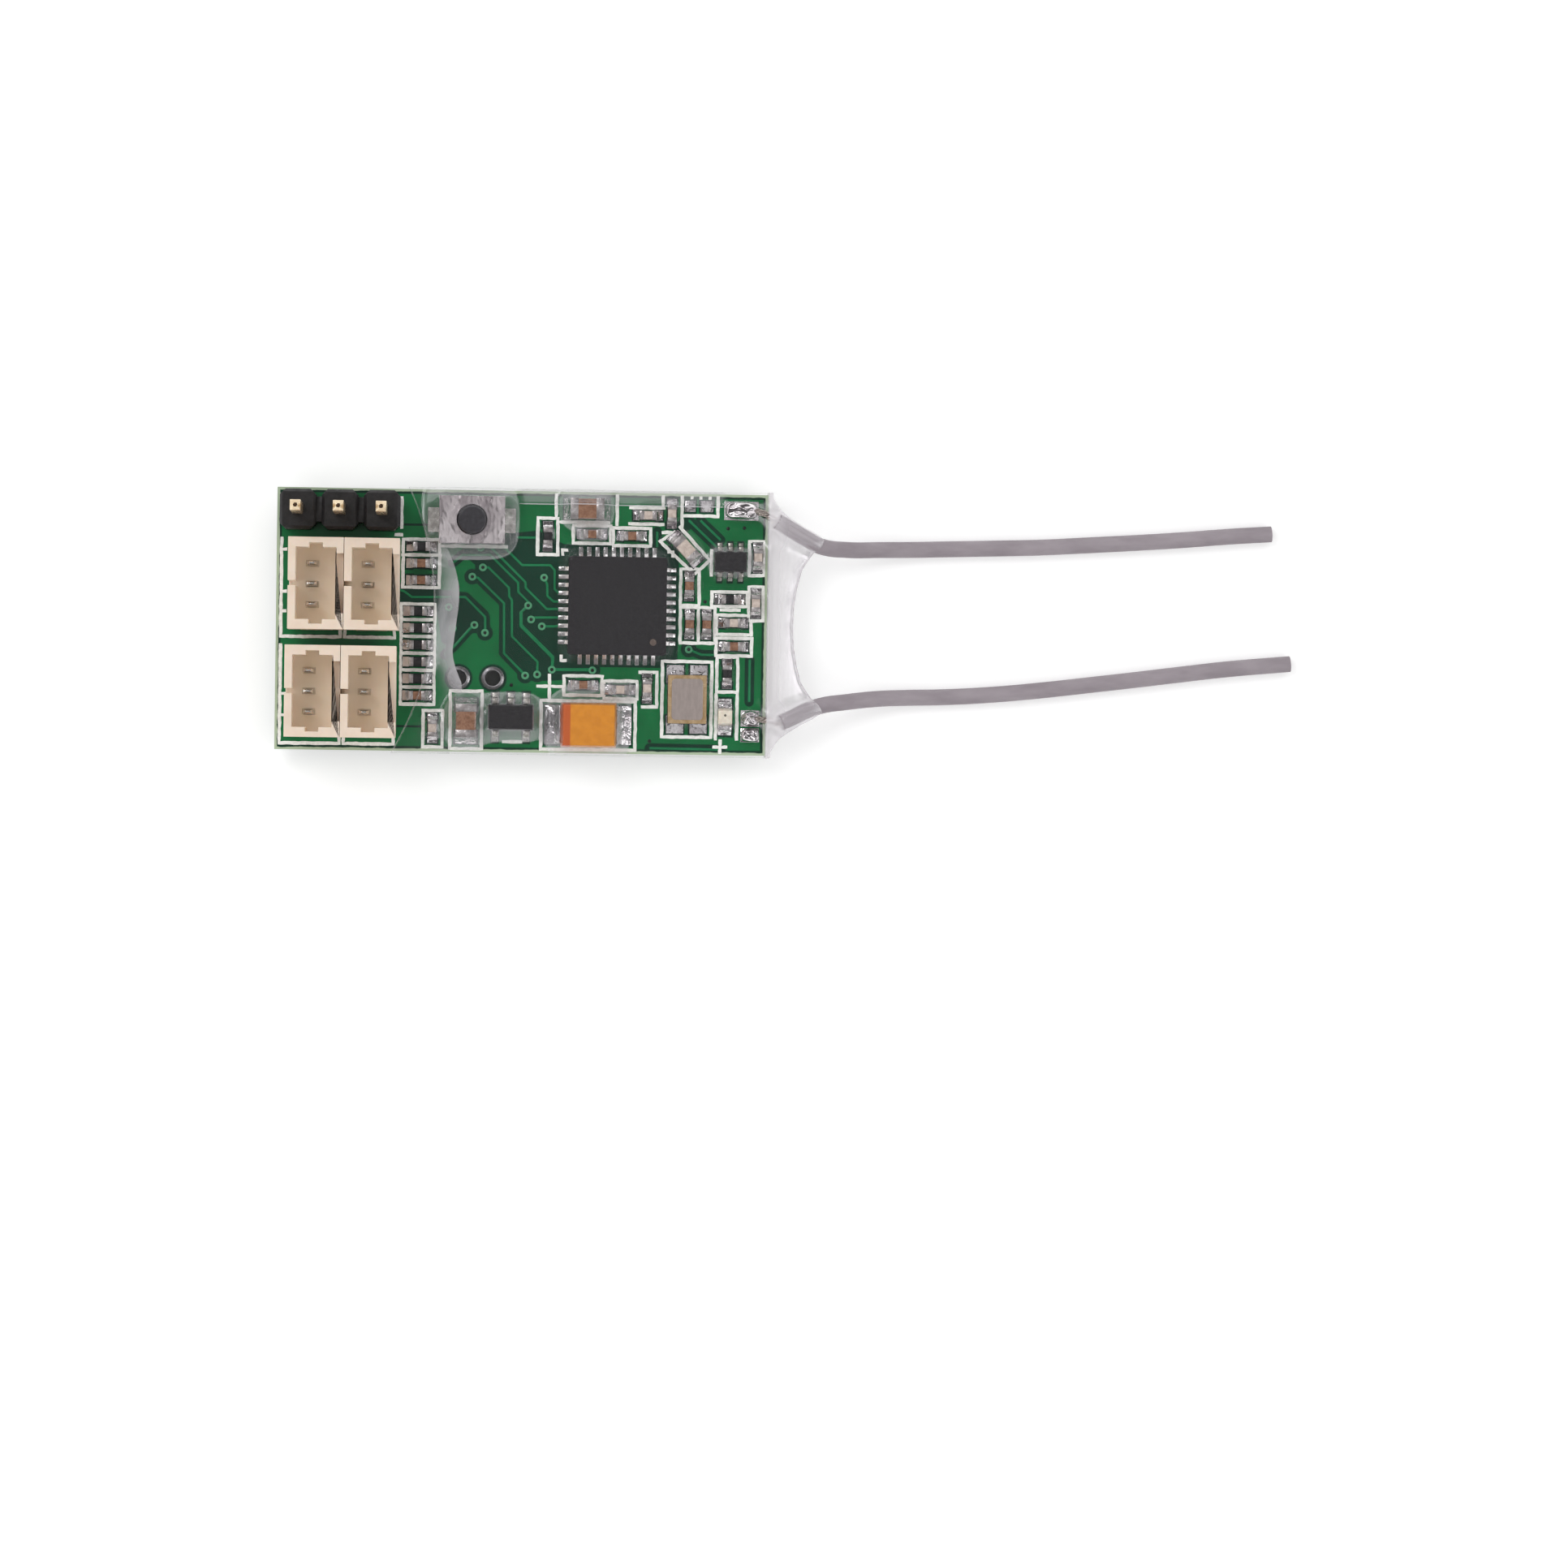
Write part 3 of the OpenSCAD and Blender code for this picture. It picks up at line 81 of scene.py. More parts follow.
# Distance past the board's right end, distance in from its long edge, height
UPPER_RUN = [(0.5, 1.6, 2.95), (1.3, 2.05, 2.8), (2.3, 2.6, 2.5), (3.3, 3.08, 2.15), (5, 3.25, 1.55),
             (7, 3.2, 0.95), (9, 3.15, 0.6), (11, 3.08, 0.5), (14, 2.98, 0.5), (17, 2.87, 0.5),
             (20, 2.68, 0.5), (23, 2.48, 0.5), (26, 2.25, 0.5), (29, 1.98, 0.5), (31.5, 1.8, 0.5)]
LOWER_RUN = [(0.9, 2.05, 2.95), (1.7, 2.4, 2.75), (2.5, 2.8, 2.45), (3.5, 3.14, 2.1), (5, 3.37, 1.55),
             (7, 3.6, 0.95), (9, 3.7, 0.6), (11, 3.76, 0.5), (14, 3.95, 0.5), (17, 4.25, 0.5),
             (20, 4.62, 0.5), (23, 5, 0.5), (26, 5.4, 0.5), (29, 5.78, 0.5), (32.8, 6.15, 0.5)]


def srgb(red, green, blue):
    """A colour as the eye sees it, 0 to 255, as the linear colour that a socket takes."""
    parts = [c / 255 for c in (red, green, blue)]
    return [p / 12.92 if p < 0.04 else ((p + 0.055) / 1.055) ** 2.4 for p in parts] + [1]


def add(tree, kind, inputs=None, **settings):
    """A node with its settings, and each input given as a value or as the socket that feeds it."""
    node = tree.nodes.new(kind)
    for name, value in settings.items():
        setattr(node, name, value)
    for name, value in (inputs or {}).items():
        if isinstance(value, bpy.types.NodeSocket):
            tree.links.new(value, node.inputs[name])
        else:
            node.inputs[name].default_value = value
    return node


def new_group(name, inputs, outputs):
    """A shader node group with named sockets, and its input and output nodes."""
    group = bpy.data.node_groups.new(name, "ShaderNodeTree")
    for socket, kind in inputs:
        group.interface.new_socket(socket, in_out="INPUT", socket_type=kind)
    for socket, kind in outputs:
        group.interface.new_socket(socket, in_out="OUTPUT", socket_type=kind)
    return group, group.nodes.new("NodeGroupInput").outputs, group.nodes.new("NodeGroupOutput")


# Grain: two tones of one finish mixed by noise, with the height that belongs to them
grain, given, result = new_group(
    "grain",
    [("First tone", "NodeSocketColor"), ("Second tone", "NodeSocketColor"), ("Grains per mm", "NodeSocketFloat"),
     ("Stretch", "NodeSocketVector"), ("Shine", "NodeSocketFloat"), ("Shine spread", "NodeSocketFloat")],
    [("Colour", "NodeSocketColor"), ("Roughness", "NodeSocketFloat"), ("Height", "NodeSocketFloat")])
place = add(grain, "ShaderNodeTexCoord")
stretched = add(grain, "ShaderNodeVectorMath", {0: place.outputs["Object"], 1: given["Stretch"]}, operation="MULTIPLY")
per_metre = add(grain, "ShaderNodeMath", {0: given["Grains per mm"], 1: 1 / MM}, operation="MULTIPLY")
cloud = add(grain, "ShaderNodeTexNoise", {"Vector": stretched.outputs[0], "Scale": per_metre.outputs[0],
                                          "Detail": 3, "Roughness": 0.6})
blend = add(grain, "ShaderNodeMapRange", {"Value": cloud.outputs["Fac"], "From Min": 0.36, "From Max": 0.64})
tones = add(grain, "ShaderNodeMix", {"Factor": blend.outputs[0], 6: given["First tone"], 7: given["Second tone"]},
            data_type="RGBA")
spread = add(grain, "ShaderNodeMath", {0: blend.outputs[0], 1: given["Shine spread"], 2: given["Shine"]},
             operation="MULTIPLY_ADD")
grain.links.new(tones.outputs[2], result.inputs["Colour"])
grain.links.new(spread.outputs[0], result.inputs["Roughness"])
grain.links.new(blend.outputs[0], result.inputs["Height"])


def grained(name, first, second, grains, rough, spread=0.1, bump=0.0, stretch=(1, 1, 1), **plain):
    """A material in two close tones, with roughness and bump from the same grain."""
    material = bpy.data.materials.new(name)
    material.use_nodes = True
    tree = material.node_tree
    shader = tree.nodes["Principled BSDF"]
    for socket, value in plain.items():
        shader.inputs[socket.replace("_", " ")].default_value = value
    finish = add(tree, "ShaderNodeGroup", node_tree=grain)
    for socket, value in (("First tone", srgb(*first)), ("Second tone", srgb(*second)), ("Grains per mm", grains),
                          ("Stretch", stretch), ("Shine", rough), ("Shine spread", spread)):
        finish.inputs[socket].default_value = value
    tree.links.new(finish.outputs["Colour"], shader.inputs["Base Color"])
    tree.links.new(finish.outputs["Roughness"], shader.inputs["Roughness"])
    if bump:
        relief = add(tree, "ShaderNodeBump", {"Height": finish.outputs["Height"], "Distance": bump * MM})
        tree.links.new(relief.outputs[0], shader.inputs["Normal"])
    return material


def shown(name, data, material, body="receiver", replaces=()):
    """A finished piece in the scene: its material, the body it rides on, what it replaces."""
    piece = bpy.data.objects.new(name, data)
    bpy.context.scene.collection.objects.link(piece)
    data.materials.append(material)
    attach(piece, body)
    if replaces:
        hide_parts(*replaces)
    return piece


def wires(name, routes, radius, smooth=True, sides=5):
    """A curve with one round wire for each route of points in millimetres."""
    curve = bpy.data.curves.new(name, "CURVE")
    curve.dimensions = "3D"
    curve.bevel_depth = radius * MM
    curve.bevel_resolution = sides
    curve.resolution_u = 8
    curve.use_fill_caps = True
    for route in routes:
        spline = curve.splines.new("BEZIER" if smooth else "POLY")
        points = spline.bezier_points if smooth else spline.points
        points.add(len(route) - 1)
        for point, co in zip(points, route):
            if smooth:
                point.co = Vector(co) * MM
                point.handle_left_type = point.handle_right_type = "AUTO"
            else:
                point.co = [*(Vector(co) * MM), 1]
    return curve


def past_board(route, side):
    return [(BOARD_END + out, side * (BOARD_EDGE - inwards), z) for out, inwards, z in route]


jacket = grained("antenna insulation", (160, 151, 157), (146, 137, 143), 0.9, 0.46, 0.12, 0.006,
                 stretch=(0.35, 1, 1), Specular_IOR_Level=0.35)
strand_metal = grained("tinned strands", (214, 203, 196), (150, 138, 132), 4, 0.2, 0.2, 0.01, Metallic=1.0)
antennas = {}
for side, label, route in ((1, "upper", UPPER_RUN), (-1, "lower", LOWER_RUN)):
    points = past_board(route, side)
    end, before = Vector(points[-1]), Vector(points[-2])
    ahead = (end - before).normalized()
    across = ahead.cross(Vector((0, 0, 1)))
    ends = []
    for k in range(7):
        turn = k * math.tau / 6
        middle = end + (across * math.cos(turn) + Vector((0, 0, 1)) * math.sin(turn)) * (0.16 if k < 6 else 0)
        ends.append([middle - ahead * 0.6, middle + ahead * 0.04])
    tip = shown(f"{label}_antenna_tip", wires(f"{label} tip", ends, 0.075, smooth=False, sides=3),
                strand_metal)
    antenna = shown(f"{label}_antenna_wire", wires(f"{label} wire", [points], ANTENNA_D / 2), jacket,
                    replaces=[f"{label}_antenna"])
    antennas[label] = antenna

# Bare strands
# Between its solder and its insulation each antenna's strands lie bare and twisted. They were tinned
# only at the tip, so they stay a little loose.
UPPER_BARE = [(-1.3, 1.0, 2.75), (-0.7, 1, 2.8), (-0.2, 1.2, 2.8), (0.34, 1.51, 2.98), (0.9, 1.8, 2.9)]
LOWER_BARE = [(-1.3, 2.3, 2.75), (-0.6, 2.25, 2.8), (0.1, 2.2, 2.8), (0.74, 1.98, 2.99), (1.3, 2.2, 2.88)]
TWIST = 1.5
random.seed(7)


def along(route, share):
    """The point at a share of the way along a route, and the direction there."""
    steps = [(Vector(b) - Vector(a)).length for a, b in zip(route, route[1:])]
    left = share * sum(steps)
    for start, stop, step in zip(route, route[1:], steps):
        if left <= step or stop is route[-1]:
            heading = (Vector(stop) - Vector(start)).normalized()
            return Vector(start) + heading * left, heading
        left -= step


def twisted(route, lay_radius, strands=7, points=22):
    """Strands wound round a route, each a little off its true helix."""
    wound = []
    for strand in range(strands):
        own = lay_radius * random.uniform(0.75, 1.25) if strand else 0
        start = strand * math.tau / (strands - 1)
        path = []
        for k in range(points):
            share = k / (points - 1)
            middle, heading = along(route, share)
            turn = start + share * math.tau * TWIST
            side = heading.cross(Vector((0, 0, 1))).normalized()
            path.append(middle + (side * math.cos(turn) + side.cross(heading) * math.sin(turn)) * own)
        wound.append(path)
    return wound


for side, label, route in ((1, "upper", UPPER_BARE), (-1, "lower", LOWER_BARE)):
    strands = wires(f"{label} strands", twisted(past_board(route, side), 0.15), 0.075, sides=3)
    strands.resolution_u = 3
    shown(f"{label}_antenna_strands", strands, strand_metal, replaces=[f"{label}_antenna_core"])

# Circuit board
# One millimetre of glass-fibre laminate under glossy green solder mask. It was snapped from a panel,
# so a pale scored strip runs along its edges. Mask over copper is brighter than mask over laminate.
mask_group, given, result = new_group(
    "solder mask", [("Tone", "NodeSocketColor"), ("Laminate", "NodeSocketColor")],
    [("Colour", "NodeSocketColor"), ("Roughness", "NodeSocketFloat"), ("Height", "NodeSocketFloat")])
place = add(mask_group, "ShaderNodeTexCoord")
axes = add(mask_group, "ShaderNodeSeparateXYZ", {0: place.outputs["Object"]})
weave = add(mask_group, "ShaderNodeTexNoise", {"Vector": place.outputs["Object"], "Scale": 1.4 / MM, "Detail": 4})
uneven = add(mask_group, "ShaderNodeTexNoise", {"Vector": place.outputs["Object"], "Scale": 0.35 / MM, "Detail": 2})
past = []
for axis, half in (("X", BOARD_END), ("Y", BOARD_EDGE)):
    size = add(mask_group, "ShaderNodeMath", {0: axes.outputs[axis]}, operation="ABSOLUTE")
    wander = add(mask_group, "ShaderNodeMath", {0: weave.outputs["Fac"], 1: 0.16 * MM, 2: size.outputs[0]},
                 operation="MULTIPLY_ADD")
    edge = add(mask_group, "ShaderNodeMapRange", {"Value": wander.outputs[0], "From Min": (half - 0.1) * MM,
                                                  "From Max": (half - 0.06) * MM})
    past.append(edge.outputs[0])
scored = add(mask_group, "ShaderNodeMath", {0: past[0], 1: past[1]}, operation="MAXIMUM")
shade = add(mask_group, "ShaderNodeMapRange", {"Value": uneven.outputs["Fac"], "From Min": 0.3, "From Max": 0.7,
                                               "To Min": 0.82, "To Max": 1.15})
toned = add(mask_group, "ShaderNodeVectorMath", {0: given["Tone"], "Scale": shade.outputs[0]}, operation="SCALE")
surface = add(mask_group, "ShaderNodeMix", {"Factor": scored.outputs[0], 6: toned.outputs[0], 7: given["Laminate"]},
              data_type="RGBA")
polish = add(mask_group, "ShaderNodeMapRange", {"Value": scored.outputs[0], "To Min": 0.26, "To Max": 0.75})
mask_group.links.new(surface.outputs[2], result.inputs["Colour"])
mask_group.links.new(polish.outputs[0], result.inputs["Roughness"])
mask_group.links.new(weave.outputs["Fac"], result.inputs["Height"])


def solder_mask(name, tone):
    material = bpy.data.materials.new(name)
    material.use_nodes = True
    tree = material.node_tree
    shader = tree.nodes["Principled BSDF"]
    shader.inputs["Specular IOR Level"].default_value = 0.25
    shader.inputs["Coat Weight"].default_value = 0.08
    shader.inputs["Coat Roughness"].default_value = 0.12
    mask = add(tree, "ShaderNodeGroup", node_tree=mask_group)
    mask.inputs["Tone"].default_value = srgb(*tone)
    mask.inputs["Laminate"].default_value = srgb(176, 192, 164)
    tree.links.new(mask.outputs["Colour"], shader.inputs["Base Color"])
    tree.links.new(mask.outputs["Roughness"], shader.inputs["Roughness"])
    relief = add(tree, "ShaderNodeBump", {"Height": mask.outputs["Height"], "Strength": 0.4, "Distance": 0.004 * MM})
    tree.links.new(relief.outputs[0], shader.inputs["Normal"])
    return material


def painted(name, material):
    """Gives a CAD node another material."""
    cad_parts[name].material_slots[0].material = material


LAMINATE_TONE = (6, 52, 36)
POUR_TONE = (14, 104, 56)
TRACK_TONE = (30, 118, 74)
mask_dark = solder_mask("mask over laminate", LAMINATE_TONE)
mask_bright = solder_mask("mask over copper", POUR_TONE)
painted("board", mask_dark)

# Copper under the mask
# Poured areas, tracks and joining holes are etched copper, over which the mask flows. The pour fills
# the board except for a channel round every track, hole and part, and some bare areas.
RELIEF = 0.012
TRACK_R = 0.2
CHANNEL = 0.3
TRACKS = [
    [(-4.28, 3.53), (-3.7, 4.03), (-2.0, 4.06), (-0.27, 2.38), (-0.26, 1.83), (0.48, 1.11), (0.36, 1.0)],
    [(-2.44, 3.29), (-2.09, 3.29), (-0.82, 2.06), (-0.81, 1.54), (-0.64, 1.33), (-0.61, -0.9), (0.98, -2.44),
     (0.96, -3.21)],
    [(-3.08, 2.71), (-2.74, 2.66), (-1.12, 1.12), (-1.08, -1.95), (0.05, -3.08), (0.23, -3.29)],
    [(-2.0, 4.55), (0.18, 2.42), (0.19, 2.08), (1.49, 0.81), (2.33, 0.82)],
    [(-1.1, 4.49), (-0.04, 3.47), (1.67, 3.49), (1.95, 3.19), (1.96, 2.04), (2.25, 1.76)],
    [(1.31, 2.72), (1.51, 2.31), (1.52, 1.61), (1.91, 1.27), (2.32, 1.27)],
    [(0.55, 0.15), (0.74, 0.27), (2.34, 0.3)],
    [(1.21, -0.26), (2.0, -0.25), (2.34, -0.19)],
    [(0.36, 1.0), (-0.1, 0.57), (-0.09, -0.26), (1.88, -2.18), (1.84, -2.92), (4.34, -2.9)],
    [(-8.4, 2.1), (-7.21, 1.75), (-6.75, 1.41), (-3.49, 1.46), (-2.26, 0.26), (-2.25, -0.54), (-2.26, -0.71)],
    [(-4.7, -2.1), (-4.11, -1.54), (-3.19, -0.48), (-2.91, -0.24)],
    [(-0.4, 5.16), (1.0, 5.16)],
    [(10.13, 6.38), (11.86, 4.76)],
    [(10.84, 6.38), (12.1, 5.2)],
    [(8.2, 5.65), (8.2, 4.7)],
    [(7.9, -7.62), (12.3, -7.66)],
    [(10.23, -1.54), (11.0, -1.85), (12.0, -1.85)],
    [(13.99, -2.1), (13.99, -4.7)],
]
WIDE_TRACK = [(0.36, 1.0), (-0.1, 0.57), (-0.09, -0.26), (1.88, -2.18), (1.84, -2.92), (4.34, -2.9)]
RINGED_HOLES = [(0.36, 1.0), (-2.44, 3.29), (0.96, -3.21), (-3.08, 2.71), (0.23, -3.29), (1.31, 2.72),
                (0.55, 0.15), (1.21, -0.26), (-2.26, -0.71), (-2.91, -0.24), (-4.49, 0.82), (-4.23, -0.47),
                (-2.59, 4.5), (10.23, -1.54), (4.34, -2.9), (1.86, -2.9)]
HOLES_IN_POUR = [(-3.93, 2.07), (-0.61, -3.88), (12.55, 5.91), (13.55, 5.96), (4.9, 7.55), (9.2, 7.6),
                 (11.2, 1.4), (7.9, -7.2)]
BARE_AREAS = [
    [(-4.4, 3.75), (-3.8, 4.3), (-3.2, 5.1), (0.9, 5.6), (2.9, 4.6), (2.9, -3.5), (1.6, -3.6), (0.2, -3.6),
     (-0.15, -3.3), (-1.4, -2.0), (-1.42, 1.15), (-2.62, 2.38), (-2.5, 3.1), (-3.3, 3.75)],
    [(-8.6, 2.45), (-5.2, 1.9), (-3.35, 1.75), (-2.05, 0.55), (-1.95, -0.2), (-2.0, -0.95), (-2.6, -0.75),
     (-3.0, -0.75), (-4.3, -1.75), (-4.9, -1.3), (-5.2, 0.4), (-8.6, 1.1)],
    [(-7.3, 5.76), (-5.6, 5.76), (-5.6, 5.9), (-7.3, 5.9)],
    [(-7.8, -6.56), (-6.0, -6.56), (-6.0, -6.42), (-7.8, -6.42)],
    [(9.2, 4.9), (10.3, 5.9), (10.4, 6.5), (9.6, 6.5), (8.9, 5.4)],
    [(-13.4, -0.95), (-8.8, -0.95), (-8.8, -1.1), (-13.4, -1.1)],
]
STRIP_INSET = 0.3


def finished_mesh(name, form, smooth=True):
    """A bmesh written to a new mesh, then freed."""
    for face in form.faces:
        face.smooth = smooth
    mesh = bpy.data.meshes.new(name)
    form.to_mesh(mesh)
    form.free()
    return mesh


def slab(form, outline, low, high):
    """Adds a flat-topped plate of the given outline, in millimetres."""
    corners = [form.verts.new(Vector((x, y, low)) * MM) for x, y in outline]
    floor = form.faces.new(corners)
    grown = bmesh.ops.extrude_face_region(form, geom=[floor])
    raised = [v for v in grown["geom"] if isinstance(v, bmesh.types.BMVert)]
    bmesh.ops.translate(form, verts=raised, vec=(0, 0, (high - low) * MM))


def disc(at, radius, corners=20):
    turns = [k * math.tau / corners for k in range(corners)]
    return [(at[0] + radius * math.cos(t), at[1] + radius * math.sin(t)) for t in turns]


def bar(start, stop, radius):
    """The outline of a straight strip with square ends."""
    heading = (Vector(stop) - Vector(start)).normalized() * radius
    side = Vector((-heading.y, heading.x))
    return [Vector(start) + side, Vector(start) - side, Vector(stop) - side, Vector(stop) + side]


def turned(form, outline, at, steps=20):
    """Spins an outline of radius and height round an upright axis."""
    points = [form.verts.new(Vector((at[0] + r, at[1], z)) * MM) for r, z in outline]
    edges = [form.edges.new(pair) for pair in zip(points, points[1:])]
    bmesh.ops.spin(form, geom=points + edges, cent=Vector((*at, 0)) * MM, axis=(0, 0, 1), angle=math.tau,
                   steps=steps, use_merge=True, use_duplicate=False)


def footprints(names, reach, apart):
    """The outline of each part that the named nodes make up, grown all round by a reach in millimetres."""
    form = bmesh.new()
    for name in names:
        form.from_mesh(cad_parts[name].data)
    bmesh.ops.remove_doubles(form, verts=form.verts, dist=apart * MM)
    waiting, outlines = set(form.verts), []
    while waiting:
        group, edge_of_group = set(), [waiting.pop()]
        while edge_of_group:
            vert = edge_of_group.pop()
            group.add(vert)
            for edge in vert.link_edges:
                other = edge.other_vert(vert)
                if other in waiting:
                    waiting.remove(other)
                    edge_of_group.append(other)
        flat = [Vector((v.co.x, v.co.y)) / MM for v in group]
        hull = [flat[k] for k in convex_hull_2d(flat)]
        middle = sum(hull, Vector((0, 0))) / len(hull)
        outlines.append([middle + (p - middle) * (1 + reach / max((p - middle).length, 0.05)) for p in hull])
    form.free()
    return outlines


def without(keep, gone):
    """A mesh of the first bmesh less the second, which may overlap itself."""
    pair = [bpy.data.objects.new("cut", finished_mesh("cut", form, smooth=False)) for form in (keep, gone)]
    for piece in pair:
        bpy.context.scene.collection.objects.link(piece)
    cutting = pair[0].modifiers.new("cutting", "BOOLEAN")
    cutting.object = pair[1]
    cutting.operation = "DIFFERENCE"
    cutting.solver = "EXACT"
    cutting.use_self = True
    mesh = bpy.data.meshes.new_from_object(pair[0].evaluated_get(bpy.context.evaluated_depsgraph_get()))
    for piece in pair:
        bpy.data.objects.remove(piece)
    return mesh


pour = bmesh.new()
long_side, short_side = BOARD_END - STRIP_INSET, BOARD_EDGE - STRIP_INSET
slab(pour, [(-long_side, -short_side), (long_side, -short_side), (long_side, short_side), (-long_side, short_side)],
     TOP_Z - 0.05, TOP_Z + RELIEF)
bmesh.ops.recalc_face_normals(pour, faces=pour.faces)
radio_low, radio_high = (Vector(corner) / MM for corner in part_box("radio_chip"))
channels = bmesh.new()
cuts = BARE_AREAS + [disc(at, 0.49) for at in RINGED_HOLES]
cuts += [disc(p, CHANNEL, 12) for route in TRACKS for p in route]
cuts += [bar(a, b, CHANNEL) for route in TRACKS for a, b in zip(route, route[1:])]
cuts += footprints(["chip_resistors", "resistor_terminals", "brown_capacitors", "pale_capacitors",
                    "capacitor_terminals", "chip_solder"], 0.13, 0.04)
cuts += footprints(["crystal_lands", "large_capacitor_terminals", "tantalum_terminals", "regulator_leads",
                    "aerial_chip_leads", "status_lamp_terminals", "hole_linings", "test_lands"], 0.15, 0.01)
cuts.append([(radio_low.x - 0.75, radio_low.y - 0.75), (radio_high.x + 0.75, radio_low.y - 0.75),
             (radio_high.x + 0.75, radio_high.y + 0.75), (radio_low.x - 0.75, radio_high.y + 0.75)])
for outline in cuts:
    slab(channels, outline, TOP_Z - 0.2, TOP_Z + 0.2)
bmesh.ops.recalc_face_normals(channels, faces=channels.faces)
shown("copper_pour", without(pour, channels), mask_bright)

tracks = [[(x, y, TOP_Z + RELIEF + 0.002 - TRACK_R) for x, y in route] for route in TRACKS]
tracks.append([(x, y, TOP_Z + RELIEF + 0.004 - TRACK_R) for x, y in WIDE_TRACK])
tracks.append([(x + 0.06, y + 0.06, TOP_Z + RELIEF + 0.003 - TRACK_R) for x, y in WIDE_TRACK])
mask_track = solder_mask("mask over a track", TRACK_TONE)
shown("tracks", wires("tracks", tracks, TRACK_R, smooth=False, sides=14), mask_track)

form = bmesh.new()
for at in RINGED_HOLES:
    turned(form, [(0.1, TOP_Z - 0.2), (0.105, TOP_Z + RELIEF + 0.012), (0.15, TOP_Z + RELIEF + 0.018),
                  (0.2, TOP_Z + RELIEF + 0.012), (0.235, TOP_Z + RELIEF), (0.25, TOP_Z - 0.02)], at)
bmesh.ops.recalc_face_normals(form, faces=form.faces)
via_mask = solder_mask("mask over a joining hole", (84, 150, 112))
shown("joining_hole_rings", finished_mesh("joining hole rings", form), via_mask)
# Over each joining hole a dark disc: painted shade, standing for the dark inside the hole
form = bmesh.new()
for at in RINGED_HOLES + HOLES_IN_POUR:
    ringed = at in RINGED_HOLES
    turned(form, [(0, TOP_Z + RELIEF + 0.004), (0.11, TOP_Z + RELIEF + 0.004), (0.13, TOP_Z - 0.01)], at, 14)
bmesh.ops.remove_doubles(form, verts=form.verts, dist=0.001 * MM)
bmesh.ops.recalc_face_normals(form, faces=form.faces)
painted_hole_shade = grained("painted shade of a hole", (20, 40, 30), (12, 26, 20), 3, 0.5)
shown("joining_hole_shade_discs", finished_mesh("joining hole shade discs", form), painted_hole_shade)

# Printed legend
# White ink, squeegeed through a mesh screen, so its lines swell and waver a little. It is a copy of
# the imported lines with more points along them, each moved by a slow noise.
WAVER = 0.035
INK_SPREAD = 0.03
form = bmesh.new()
form.from_mesh(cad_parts["legend_print"].data)
bmesh.ops.remove_doubles(form, verts=form.verts, dist=0.002 * MM)
bmesh.ops.dissolve_limit(form, angle_limit=math.radians(1), verts=form.verts, edges=form.edges)
bmesh.ops.triangulate(form, faces=form.faces)
for _ in range(6):
    long_edges = [e for e in form.edges if e.calc_length() > 0.32 * MM]
    bmesh.ops.subdivide_edges(form, edges=long_edges, cuts=1)
    bmesh.ops.triangulate(form, faces=form.faces)
form.normal_update()
for vert in form.verts:
    vert.co.xy += vert.normal.xy * INK_SPREAD * MM
    spot = vert.co / MM
    push = noise.noise_vector(Vector((spot.x, spot.y, 0)) * 2.6) + noise.noise_vector(Vector((spot.x, spot.y, 5)) * 6) * 0.5
    vert.co.x += push.x * WAVER * MM
    vert.co.y += push.y * WAVER * MM
ink = grained("legend ink", (252, 250, 246), (232, 232, 226), 5, 0.55, 0.2, 0.012)
shown("legend_ink", finished_mesh("legend ink", form, smooth=False), ink, replaces=["legend_print"])

# Pin header
# Three moulded black blocks in one strip, with a square gold-flashed pin through each. The pins were
# cropped from a strip, so each tip shows a dark spot of bare brass.
smooth_faces = bpy.data.node_groups.new("smooth faces", "GeometryNodeTree")
smooth_faces.interface.new_socket("Geometry", in_out="INPUT", socket_type="NodeSocketGeometry")
smooth_faces.interface.new_socket("Geometry", in_out="OUTPUT", socket_type="NodeSocketGeometry")
came = smooth_faces.nodes.new("NodeGroupInput")
shaded = smooth_faces.nodes.new("GeometryNodeSetShadeSmooth")
left = smooth_faces.nodes.new("NodeGroupOutput")
smooth_faces.links.new(came.outputs[0], shaded.inputs[0])
smooth_faces.links.new(shaded.outputs[0], left.inputs[0])


def eased(name, material, width, segments=2):
    """Welds a CAD node's loose triangles, rounds its edges by a width in millimetres, and paints it."""
    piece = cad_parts[name]
    weld = piece.modifiers.new("weld", "WELD")
    weld.merge_threshold = 0.001 * MM
    flat = piece.modifiers.new("flat faces", "DECIMATE")
    flat.decimate_type = "DISSOLVE"
    flat.angle_limit = math.radians(1)
    rounding = piece.modifiers.new("rounding", "BEVEL")
    rounding.width = width * MM
    rounding.segments = segments
    rounding.limit_method = "ANGLE"
    rounding.angle_limit = math.radians(28)
    rounding.use_clamp_overlap = True
    piece.modifiers.new("smooth faces", "NODES").node_group = smooth_faces
    normals = piece.modifiers.new("level faces", "WEIGHTED_NORMAL")
    normals.weight = 90
    painted(name, material)
    return piece


black_plastic = grained("header plastic", (32, 29, 31), (25, 24, 25), 3, 0.38, 0.2, 0.006)
gold = grained("gold flash", (232, 214, 184), (214, 192, 160), 3, 0.22, 0.12, 0.002, stretch=(1, 1, 0.3), Metallic=1.0)
eased("header_body", black_plastic, 0.06, 3)
form = bmesh.new()
for k in (1, 2, 3):
    eased(f"header_pin_{k}", gold, 0.03)
    low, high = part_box(f"header_pin_{k}")
    middle = (Vector(low) + Vector(high)) / 2 / MM
    top = high[2] / MM
    turned(form, [(0, top + 0.004), (0.1, top + 0.004), (0.13, top - 0.01)], (middle.x, middle.y), 12)
bmesh.ops.remove_doubles(form, verts=form.verts, dist=0.001 * MM)
bmesh.ops.recalc_face_normals(form, faces=form.faces)
